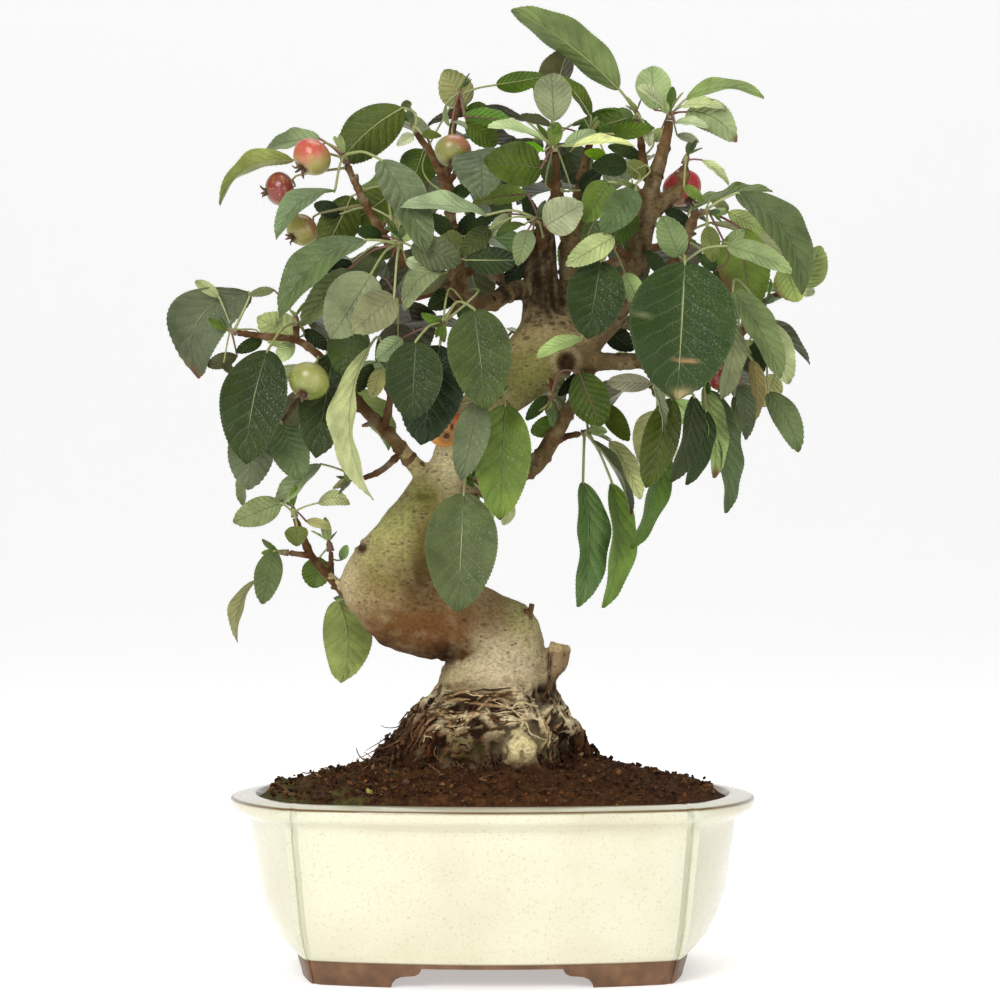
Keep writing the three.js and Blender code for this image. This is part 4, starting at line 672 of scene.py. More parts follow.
def fibres(p):
    """How far the torn wood stands out at a point of the flare, in mm: layers in front, roots down the slopes."""
    def crack(deep, *place):
        return -deep * abs(noise.noise(Vector(place)))

    x, y, z = p
    level = levels_of(p)
    layers = crack(1.5, x * 0.06, y * 0.06, level * 0.36) + crack(0.9, x * 0.16, y * 0.16, level * 0.9) - 0.5
    roots = crack(4.4, math.atan2(y, x) * 4.2, z * 0.045, 3) + crack(1.6, x * 0.35, y * 0.35, z * 0.1)
    slope = min(1, max(0, (abs(x + 3) - 14 + (z < 100) * 4) / 14, (y + 5) / 12))
    return layers * (1 - slope) + roots * slope + noise.noise(Vector(p) * 0.22) * 1.3


def layout(points):
    """The layout squares of points in mm, and spot(), a soft round patch on them."""
    u, v = squares(points[:, 0], points[:, 2])

    def spot(middle_u, middle_v, reach_u, reach_v):
        return np.exp(-(((u - middle_u) / reach_u) ** 2 + ((v - middle_v) / reach_v) ** 2))

    return u, v, spot


co = points_of(trunk).astype(float)
ends = np.array([e.vertices[:] for e in trunk.data.edges])
co = neighbours_smooth(co, ends, 2)
trunk.data.vertices.foreach_set("co", co.ravel())
trunk.data.update()
normals = np.array([v.normal[:] for v in trunk.data.vertices])
body_mm = co * 1000
us, vs, spot = layout(body_mm)
torn = cap((121 - body_mm[:, 2]) / 7)
lift = 0.5 * stir(body_mm, 0.14) + 0.22 * stir(body_mm, 0.45)
lift += 1.3 * spot(552, 345, 42, 36) * stir(body_mm, 0.1, (4, 0, 0))
rope = np.array([fibres(p) if t > 0 else 0 for p, t in zip(body_mm, torn)])
lift = lift * (1 - 0.4 * torn) + torn * (rope + 0.35) * 1.15
toward_eye = normals[:, 1] < 0.1
lift -= 3 * np.exp(-((vs - 690) / 15) ** 2) * cap((446 - us) / 12) + 2.2 * cap((412 - us) / 12) * torn
lift -= 2.2 * cap((us - 548) / 12) * torn + 2.2 * spot(506, 590, 22, 13)
lift += 1.3 * spot(410, 652, 40, 14) - 1.6 * spot(380, 512, 34, 32) * cap(-2 * normals[:, 0])
for u, v, ru, rv, deep in ((437, 742, 6, 22, 1.8), (494, 752, 7, 12, 2.2), (552, 744, 8, 14, 2)):
    lift -= deep * spot(u, v, ru, rv) * toward_eye
crease = spot(449, 650, 20, 16)
lift += crease * np.where(crease > 0.05, np.sin(body_mm[:, 0] * 1.5 + body_mm[:, 2] * 1.2) * 0.7 - 0.3, 0)
lift -= 2.4 * spot(541, 692, 12, 11) * toward_eye
lift -= 1.1 * np.exp(-((us - 549 + 0.12 * (vs - 660)) / 2.4) ** 2) * (np.abs(vs - 662) < 26) * toward_eye
SCARS = ((566, 363, 4.2, 1.8), (364, 547, 2.4, 0.9), (473, 489, 5, 0.8))  # healed pruning cuts
for u, v, r, deep in SCARS:
    far = np.hypot(us - u, vs - v) * SQUARE_MM / r
    lift += toward_eye * deep * (0.9 * np.exp(-((far - 1.2) / 0.28) ** 2) - np.exp(-(far / 0.8) ** 4))
trunk.data.vertices.foreach_set("co", (co + normals * lift[:, None] / 1000).ravel())
trunk.data.update()

# The thin wood: every limb past its first few millimetres, and every twig, knotted at its old buds.
thin = []
for n, rows in LIMBS.items():
    if n not in ("leader", "right"):
        thin.append(strand(rows))
for rows in TWIGS.values():
    thin.append(strand(rows, 1.2))
thin.append(strand([[526, 630, -10, 2.1], [529, 617, -11, 1.5], [532, 604, -12, 1.2]], 1.2))
thin = [[(place, radius * 0.9) for place, radius in run] for run in thin]
plain = [point for run in thin for point in run]
for run in thin:
    travel, next_knot = 0, draw.uniform(3, 8)
    for k in range(1, len(run)):
        travel += (run[k][0] - run[k - 1][0]).length * 1000
        swell = 1 + 0.06 * noise.noise(run[k][0] * 300)
        if travel > next_knot:
            swell += 0.22
            next_knot = travel + draw.uniform(6, 12)
        run[k] = (run[k][0], run[k][1] * swell)
spurs = []
for run in thin:  # short dead spurs and bud stubs along the limbs
    for k in range(6, len(run) - 4, 9):
        if draw.random() < 0.4:
            place, radius = run[k]
            way = (run[k + 1][0] - place).cross(any_way(draw)).normalized()
            way = (way + (run[k + 1][0] - place).normalized() * 0.6).normalized()
            long = draw.uniform(0.0016, 0.0042)
            spurs.append([(place, 0.0011), (place + way * (radius + long * 0.5), 0.001),
                          (place + way * (radius + long), 0.00055)])
branches = sweep("branch_wood", thin, 12)
branches = join(branches, sweep("spur_wood", spurs, 6))
co = points_of(branches).astype(float)
normals = np.array([v.normal[:] for v in branches.data.vertices])
lift = 0.16 * stir(co, 700) + 0.14 * stir(co, 260)
branches.data.vertices.foreach_set("co", (co + normals * lift[:, None] / 1000).ravel())
branches.data.update()

TAN, PALE, GREEN = linear(176, 152, 108), linear(206, 190, 150), linear(194, 192, 118)
RUST, DARK, CRACK_AND_SHADE = linear(124, 86, 48), linear(56, 43, 27), linear(34, 18, 10)
MOSS, EARTH = linear(92, 106, 46), linear(56, 34, 20)


def bark_tones(piece):
    """Paints the bark: patches first, then the underside in painted shade, the torn flare, and the cracks with painted
    shade in the hollows.
    """
    co = points_of(piece).astype(float)
    ends = np.array([e.vertices[:] for e in piece.data.edges])
    normals = np.array([v.normal[:] for v in piece.data.vertices])
    hollow = np.einsum("ij,ij->i", neighbours_smooth(co, ends, 6) - co, normals) * 1000
    body_mm = co * 1000
    u, v, spot = layout(body_mm)
    front = normals[:, 1] < 0.15
    mottle = stir(body_mm, 0.09) + 0.5 * stir(body_mm, 0.3)
    streak = stir(body_mm * (0.5, 0.5, 1.6), 1)
    tone = np.tile(TAN, (len(co), 1))

    def patch(colour, share):
        nonlocal tone
        share = cap(share)[:, None]
        tone = tone * (1 - share) + np.array(colour) * share

    patch(linear(226, 208, 168), 1.1 * spot(502, 658, 50, 36) + 0.45 * mottle)
    patch(linear(255, 244, 190), spot(448, 462, 26, 30))
    patch(GREEN, 1.1 * spot(398, 522, 44, 44) + 0.6 * spot(522, 616, 26, 22) + 0.4 * mottle)
    patch(linear(140, 142, 74), spot(428, 498, 16, 22) + 0.9 * spot(528, 378, 44, 40) + 0.5 * spot(380, 575, 30, 20))
    patch(linear(226, 208, 160), 0.9 * spot(344, 572, 16, 34))
    # Painted shade: the olive-brown along the right edge of the rising trunk and in the bend, and the dark patch inside
    # the bend and under it, stand for the shadow of the big leaf in front and the shade in the bend, over the bark's
    # own darker brown.
    patch(linear(136, 116, 58), 1.1 * spot(430, 545, 16, 36) + 0.5 * spot(400, 580, 30, 18))
    patch(linear(80, 56, 20), 0.95 * spot(424, 586, 22, 26) + 0.35 * spot(430, 620, 60, 16))
    patch(RUST, 0.3 * spot(500, 618, 16, 16))
    # Painted shade: under the bend, faces that turn downward are painted red-brown, and darker still where they face
    # straight down, with two red-brown patches under the bend; partly the bark's own red-brown, partly painted shade.
    below = cap((v - 566 + 26 * mottle - 0.25 * (u - 400)) / 44) * np.clip((u - 350) / 40, 0.2, 1)
    below = below * cap((676 - v) / 10) * cap((480 - u) / 22)
    patch(RUST, cap(-normals[:, 2] + 0.1) * 1.8 * below + 0.5 * spot(446, 618, 36, 26) + 0.5 * spot(474, 608, 30, 18))
    patch(RUST, cap(streak - 0.15, 0.5) * below)
    patch(DARK, 0.9 * cap(-normals[:, 2] - 0.55) * below)
    patch(CRACK_AND_SHADE, 1.3 * spot(448, 650, 15, 10) * (0.7 + mottle) + 0.8 * spot(474, 489, 11, 8)
          + 0.5 * spot(424, 497, 12, 3))
    patch(linear(112, 94, 64), cap((u - 572 + 14 * mottle) / 12) * cap((408 - v) / 20, 0.85))
    patch(DARK, cap((318 - v + 14 * mottle) / 16) * cap((588 - u) / 16, 0.92))
    fissure = stir(body_mm * (0.5, 0.5, 0.07), 1) + 0.5 * streak
    patch(CRACK_AND_SHADE, cap(fissure * 2.4 - 0.2, 0.8) * cap((336 - v) / 16))
    patch(linear(146, 124, 92), cap(-fissure * 2.2 - 0.3, 0.7) * cap((336 - v) / 16))
    for cu, cv, r, _ in SCARS:
        far = np.hypot(u - cu, v - cv) * SQUARE_MM / r
        patch(linear(186, 166, 128), 0.8 * front * np.exp(-((far - 1.3) / 0.22) ** 2))
        patch(CRACK_AND_SHADE, front * np.exp(-(far / 0.9) ** 4))
        patch(linear(96, 66, 44), 0.8 * front * np.exp(-(far / 0.55) ** 4))
    stub = cap((u - 546) / 4) * (v > 638) * (v < 696)
    patch(linear(160, 130, 96), stub * 0.9)
    # Painted shade in the hollows between the strands of the stub, with a dark crack down its face.
    patch(CRACK_AND_SHADE, stub * cap(hollow * 6, 0.8) + 0.6 * spot(549, 668, 3, 22))
    patch(linear(206, 180, 128), stub * cap((652 - v) / 5, 0.8))
    torn = cap((v - 684 + 9 * mottle) / 8)
    centre = cap((u - 424 + 10 * mottle) / 22) * cap((586 - u) / 20) * front
    patch(linear(104, 60, 28), torn)
    patch(RUST, torn * cap(mottle + 0.1, 0.7) * cap((u - 530) / 20))
    patch(PALE, torn * cap(-hollow * 5 - 0.1 + 0.6 * mottle, 0.95) * centre * np.clip((745 - v) / 30, 0.15, 1))
    patch(CRACK_AND_SHADE, 1.1 * front * (spot(482, 700, 22, 11) + 0.6 * spot(462, 692, 14, 7)))
    cream = spot(428, 697, 16, 8) + spot(400, 713, 18, 7) + spot(382, 731, 16, 8)
    cream = cream + spot(506, 712, 24, 6) + 0.9 * spot(518, 694, 16, 7)
    cream += spot(544, 711, 12, 9) + spot(565, 714, 12, 9) + 0.8 * spot(564, 732, 12, 6) + 0.6 * spot(520, 722, 30, 5)
    patch(linear(246, 228, 182), cream * front * cap(1.1 - hollow * 4))
    # Painted shade: every hollow of the bark is darkened, a little all over and strongly on the torn flare; partly the
    # dark of real cracks, partly painted shade.
    patch(CRACK_AND_SHADE, (0.15 + torn) * cap(hollow * 6 - 0.1, 0.95))
    # The dents of the flare and the crumbly cavity by the stub are darkened: partly rotten wood, partly painted shade
    # in the recesses.
    hollows = 0.4 * spot(492, 730, 10, 4) + 0.6 * spot(560, 744, 8, 14) + 0.8 * spot(492, 748, 7, 14)
    patch(CRACK_AND_SHADE, 1.1 * spot(543, 696, 13, 12) * front + 0.9 * hollows * front)
    green = spot(455, 738, 26, 20) + 0.7 * spot(586, 716, 16, 18)
    green = green + 0.9 * spot(543, 752, 6, 12) + 0.6 * spot(445, 700, 12, 6)
    patch(MOSS, torn * cap(green + mottle - 0.5, 0.6) * front + torn * ~front * cap(mottle * 2 - 0.3, 0.4))
    patch(linear(255, 236, 176), 1.2 * spot(521, 740, 21, 17) * front * (1 - cap(hollow * 4, 0.7)))
    patch(linear(140, 92, 56), 0.7 * spot(528, 762, 26, 8) * front)
    ground = np.array([heap(x, y) for x, y, _ in body_mm])
    splash = ground + 4 + 16 * cap((436 - u) / 20) + 9 * mottle
    patch(EARTH, torn * cap((splash - body_mm[:, 2]) / 6, 0.9) * (1 - spot(521, 743, 17, 15)))
    paint(piece, "tone", tone)


bark_tones(trunk)

# The thin wood goes from brown-grey at a finger's thickness of a limb to reddish brown at its young tips.
tree = KDTree(len(plain))
radii = []
for place, radius in plain:
    tree.insert(place, len(radii))
    radii.append(radius * 1000)
tree.balance()
co = points_of(branches)
near = np.array([radii[tree.find(p)[1]] for p in co])
old, young = np.array(linear(124, 102, 66)), np.array(linear(110, 78, 48))
share = cap((3.2 - near) / 1.6)[:, None]
tone = old * (1 - share) + young * share
cloudy = stir(co, 120)[:, None]
tone = tone * (1 + 0.8 * cloudy)
lichen = cap(cloudy * 3 - 0.9, 0.5)
tone = tone * (1 - lichen) + np.array(linear(150, 146, 120)) * lichen
paint(branches, "tone", tone)
wood = join(trunk, branches)
wood.name = wood.data.name = "grown_wood"
bpy.ops.object.shade_smooth()

bark = Shader("bark", 0.78, Specular_IOR_Level=0.1)
tone = bark.painted()
flat = bark.node("Mapping", {"Vector": bark.here, "Scale": (1, 1, 1.5)}).outputs["Vector"]
fine = bark.noise(620.0, 8.0, flat, 0.8)
shade = bark.mix(bark.ramp(fine, (0.4, 0.0), (0.56, 1.0)), bark.mix(0.52, tone, linear(60, 38, 20)), tone)
shade = bark.mix(bark.ramp(bark.noise(150.0, 5.0), (0.5, 0.0), (0.8, 0.22)), shade, linear(226, 206, 160))
size = bark.math("MULTIPLY", bark.noise(240.0, 3.0), 0.34)
for scale, wide in ((300.0, 0.2), (130.0, 0.16)):  # lenticels of two sizes, in patches
    spots = bark.math("SUBTRACT", bark.cells(scale, where=flat), size)
    spots = bark.ramp(spots, (wide - 0.16, 1.0), (wide - 0.08, 0.0))
    few = bark.ramp(bark.noise(scale * 0.5), (0.5, 0.0), (0.58, 0.6))
    shade = bark.mix(bark.math("MULTIPLY", spots, few), shade, linear(64, 44, 30))
wood.data.materials.clear()
wood.data.materials.append(bark.finish(shade, fine, 0.0014, 0.85))
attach(wood, "root")
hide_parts("trunk_and_branches")

# ---------------------------------------------------------------- torn bark
# Strips of old bark and root fibre, 0.4 to 1.6 mm wide, that hang in arcs round the foot of the trunk where
# it was once wrapped; bleached on the arches, nearly black in the hollows between them.
bark_skin = BVHTree.FromPolygons([v.co[:] for v in wood.data.vertices], [p.vertices[:] for p in wood.data.polygons])
strips, strip_tones = [], []
while len(strips) < 330:
    angle, z = draw.uniform(0, 6.28), draw.triangular(84, 121, 108)
    place = Vector(on_flare(angle, z, 4)) / 1000
    hit, normal, _, _ = bark_skin.find_nearest(place)
    if hit is None or hit.z > 0.122:
        continue
    steep = min(1, max(0, (abs(hit.x * 1000 + 1) - 18) / 14))
    run, fat, long = [], draw.choice((0.3, 0.4, 0.5, 0.7, 0.9)), draw.randint(7, 20)
    way = normal.cross(Vector((0, 0, 1))).normalized() * (1 - 0.7 * steep)
    way = way + Vector((0, 0, draw.uniform(-0.9, -0.2) if steep > 0.4 else draw.uniform(-0.25, 0.2)))
    drop = draw.uniform(-0.09, 0.03)
    for k in range(long):
        out = (-0.3 + (0.9 * (k / long) ** 3 if draw.random() < 0.4 else 0)) * fat + (0.5 if k in (0, long - 1) else 0)
        run.append((hit + normal * out / 1000, fat * math.sin(math.pi * (k + 0.6) / (long + 0.2)) ** 0.6 / 1000))
        sway = Vector((draw.uniform(-0.2, 0.2), draw.uniform(-0.2, 0.2), drop + draw.uniform(-0.14, 0.14)))
        way = (way.normalized() + sway).normalized()
        hit, normal, _, _ = bark_skin.find_nearest(hit + way * 0.0013)
    u, v = squares(run[0][0].x * 1000, run[0][0].z * 1000)
    knob = min(math.hypot(p.x * 1000 - 11.6, p.z * 1000 - 91.2) for p, _ in run)
    if knob < 6 and hit.y < 0 or v < 682:
        continue
    bright = 430 < u < 562 and v < 738
    strips.append(run)
    strip_tones.append(draw.choice(((240, 218, 170), (186, 150, 104), (104, 70, 40), (52, 30, 18)) if bright else
                                   ((58, 33, 18), (84, 50, 28), (118, 80, 46), (40, 22, 12))))
torn_bark = sweep("torn_bark", strips, 4)
bpy.ops.object.shade_smooth()
tree = KDTree(sum(len(run) for run in strips))
colours = []
for run, shade_ in zip(strips, strip_tones):
    for place, _ in run:
        tree.insert(place, len(colours))
        colours.append(linear(*shade_))
tree.balance()
paint(torn_bark, "tone", np.array([colours[tree.find(p)[1]] for p in points_of(torn_bark)]))
torn_bark.data.materials.append(wood.data.materials[0])
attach(torn_bark, "root")

# ---------------------------------------------------------------- gravel and root hairs
# Clods, grit and a few pebbles of 1 to 5 mm lie on the soil and cling to the foot of the flare, with the
# fine roots that broke off when the tree was last repotted.
draw = random.Random(3)
loose = []
while len(loose) < 2300:
    x, y = draw.uniform(-90, 90), draw.uniform(-64, 64)
    if (abs(x) / 90) ** 3 + (abs(y) / 63.5) ** 3 > 1 or (x > -12 and draw.random() < 0.45):
        continue
    size = draw.choice((0.9, 1.1, 1.4, 1.8, 2.3)) * draw.uniform(0.8, 1.25)
    colour = draw.choices(((54, 31, 16), (84, 51, 28), (116, 74, 42), (146, 102, 62), (170, 134, 84)),
                          (5, 5, 3, 1.6, 0.4))[0]
    loose.append(((x, y, crumbs(x, y) + size * 0.12), size, colour))
for _ in range(900):
    angle, rise = draw.uniform(0, 2 * math.pi), draw.expovariate(0.22)
    x, y, _ = on_flare(angle, 84 + rise, -1.2)
    if rise < (13 if x < -8 else 6):
        size = draw.uniform(0.8, 2.6)
        colour = draw.choice(((50, 29, 17), (76, 46, 28), (60, 36, 22), (104, 74, 46)))
        loose.append(((x, y, 84 + rise), size, colour))
for x, y, size, colour in ((-48, -52, 4.6, (178, 162, 84)), (-56, -40, 3.8, (150, 96, 66)),
                           (-34, -46, 3.6, (150, 112, 84)), (-62, -30, 3.4, (120, 76, 52)),
                           (30, -52, 3, (110, 96, 66)), (62, -30, 3.2, (84, 66, 50)),
                           (-66, 22, 3.8, (140, 100, 70)), (48, 40, 4, (120, 84, 60)),
                           (-20, 52, 3.4, (150, 128, 92))):
    loose.append(((x, y, crumbs(x, y) + 0.5), size, colour))
gravel = scatter("soil_gravel", loose)
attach(gravel, "root")

hairs = []
for k in range(190):
    if k % 2:
        x, y = draw.uniform(-85, 20), draw.uniform(-58, 45)
        place, drift = Vector((x, y, crumbs(x, y) + 0.3)), Vector((draw.uniform(-1, 1), draw.uniform(-1, 1), 0.15))
    else:
        angle = draw.uniform(2.2, 5.2)
        place = Vector(on_flare(angle, draw.uniform(84, 104), -1))
        drift = Vector((math.cos(angle), math.sin(angle), -1.6)) * 0.8
    run, bend = [], Vector((draw.uniform(-1, 1), draw.uniform(-1, 1), draw.uniform(-0.4, 0.6))) * 0.5
    fat, long = draw.uniform(0.12, 0.4), draw.randint(7, 14)
    for i in range(long):
        run.append((place / 1000, fat * (1 - 0.7 * i / long) / 1000))
        place = place + drift.normalized() * 1.1
        drift = drift + bend * 0.5 + any_way(draw) * 0.35
        floor_here = crumbs(place.x, place.y) + 0.2
        if place.z < floor_here:
            place.z = floor_here
    hairs.append(run)
root_hairs = sweep("root_hairs", hairs, 4)
bpy.ops.object.shade_smooth()
fibre = Shader("root_hair", 0.8)
shades = fibre.ramp(fibre.noise(60.0, 3.0),
                    (0.35, linear(50, 28, 16)), (0.5, linear(94, 60, 34)), (0.68, linear(156, 118, 74)))
root_hairs.data.materials.append(fibre.finish(shades))
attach(root_hairs, "root")

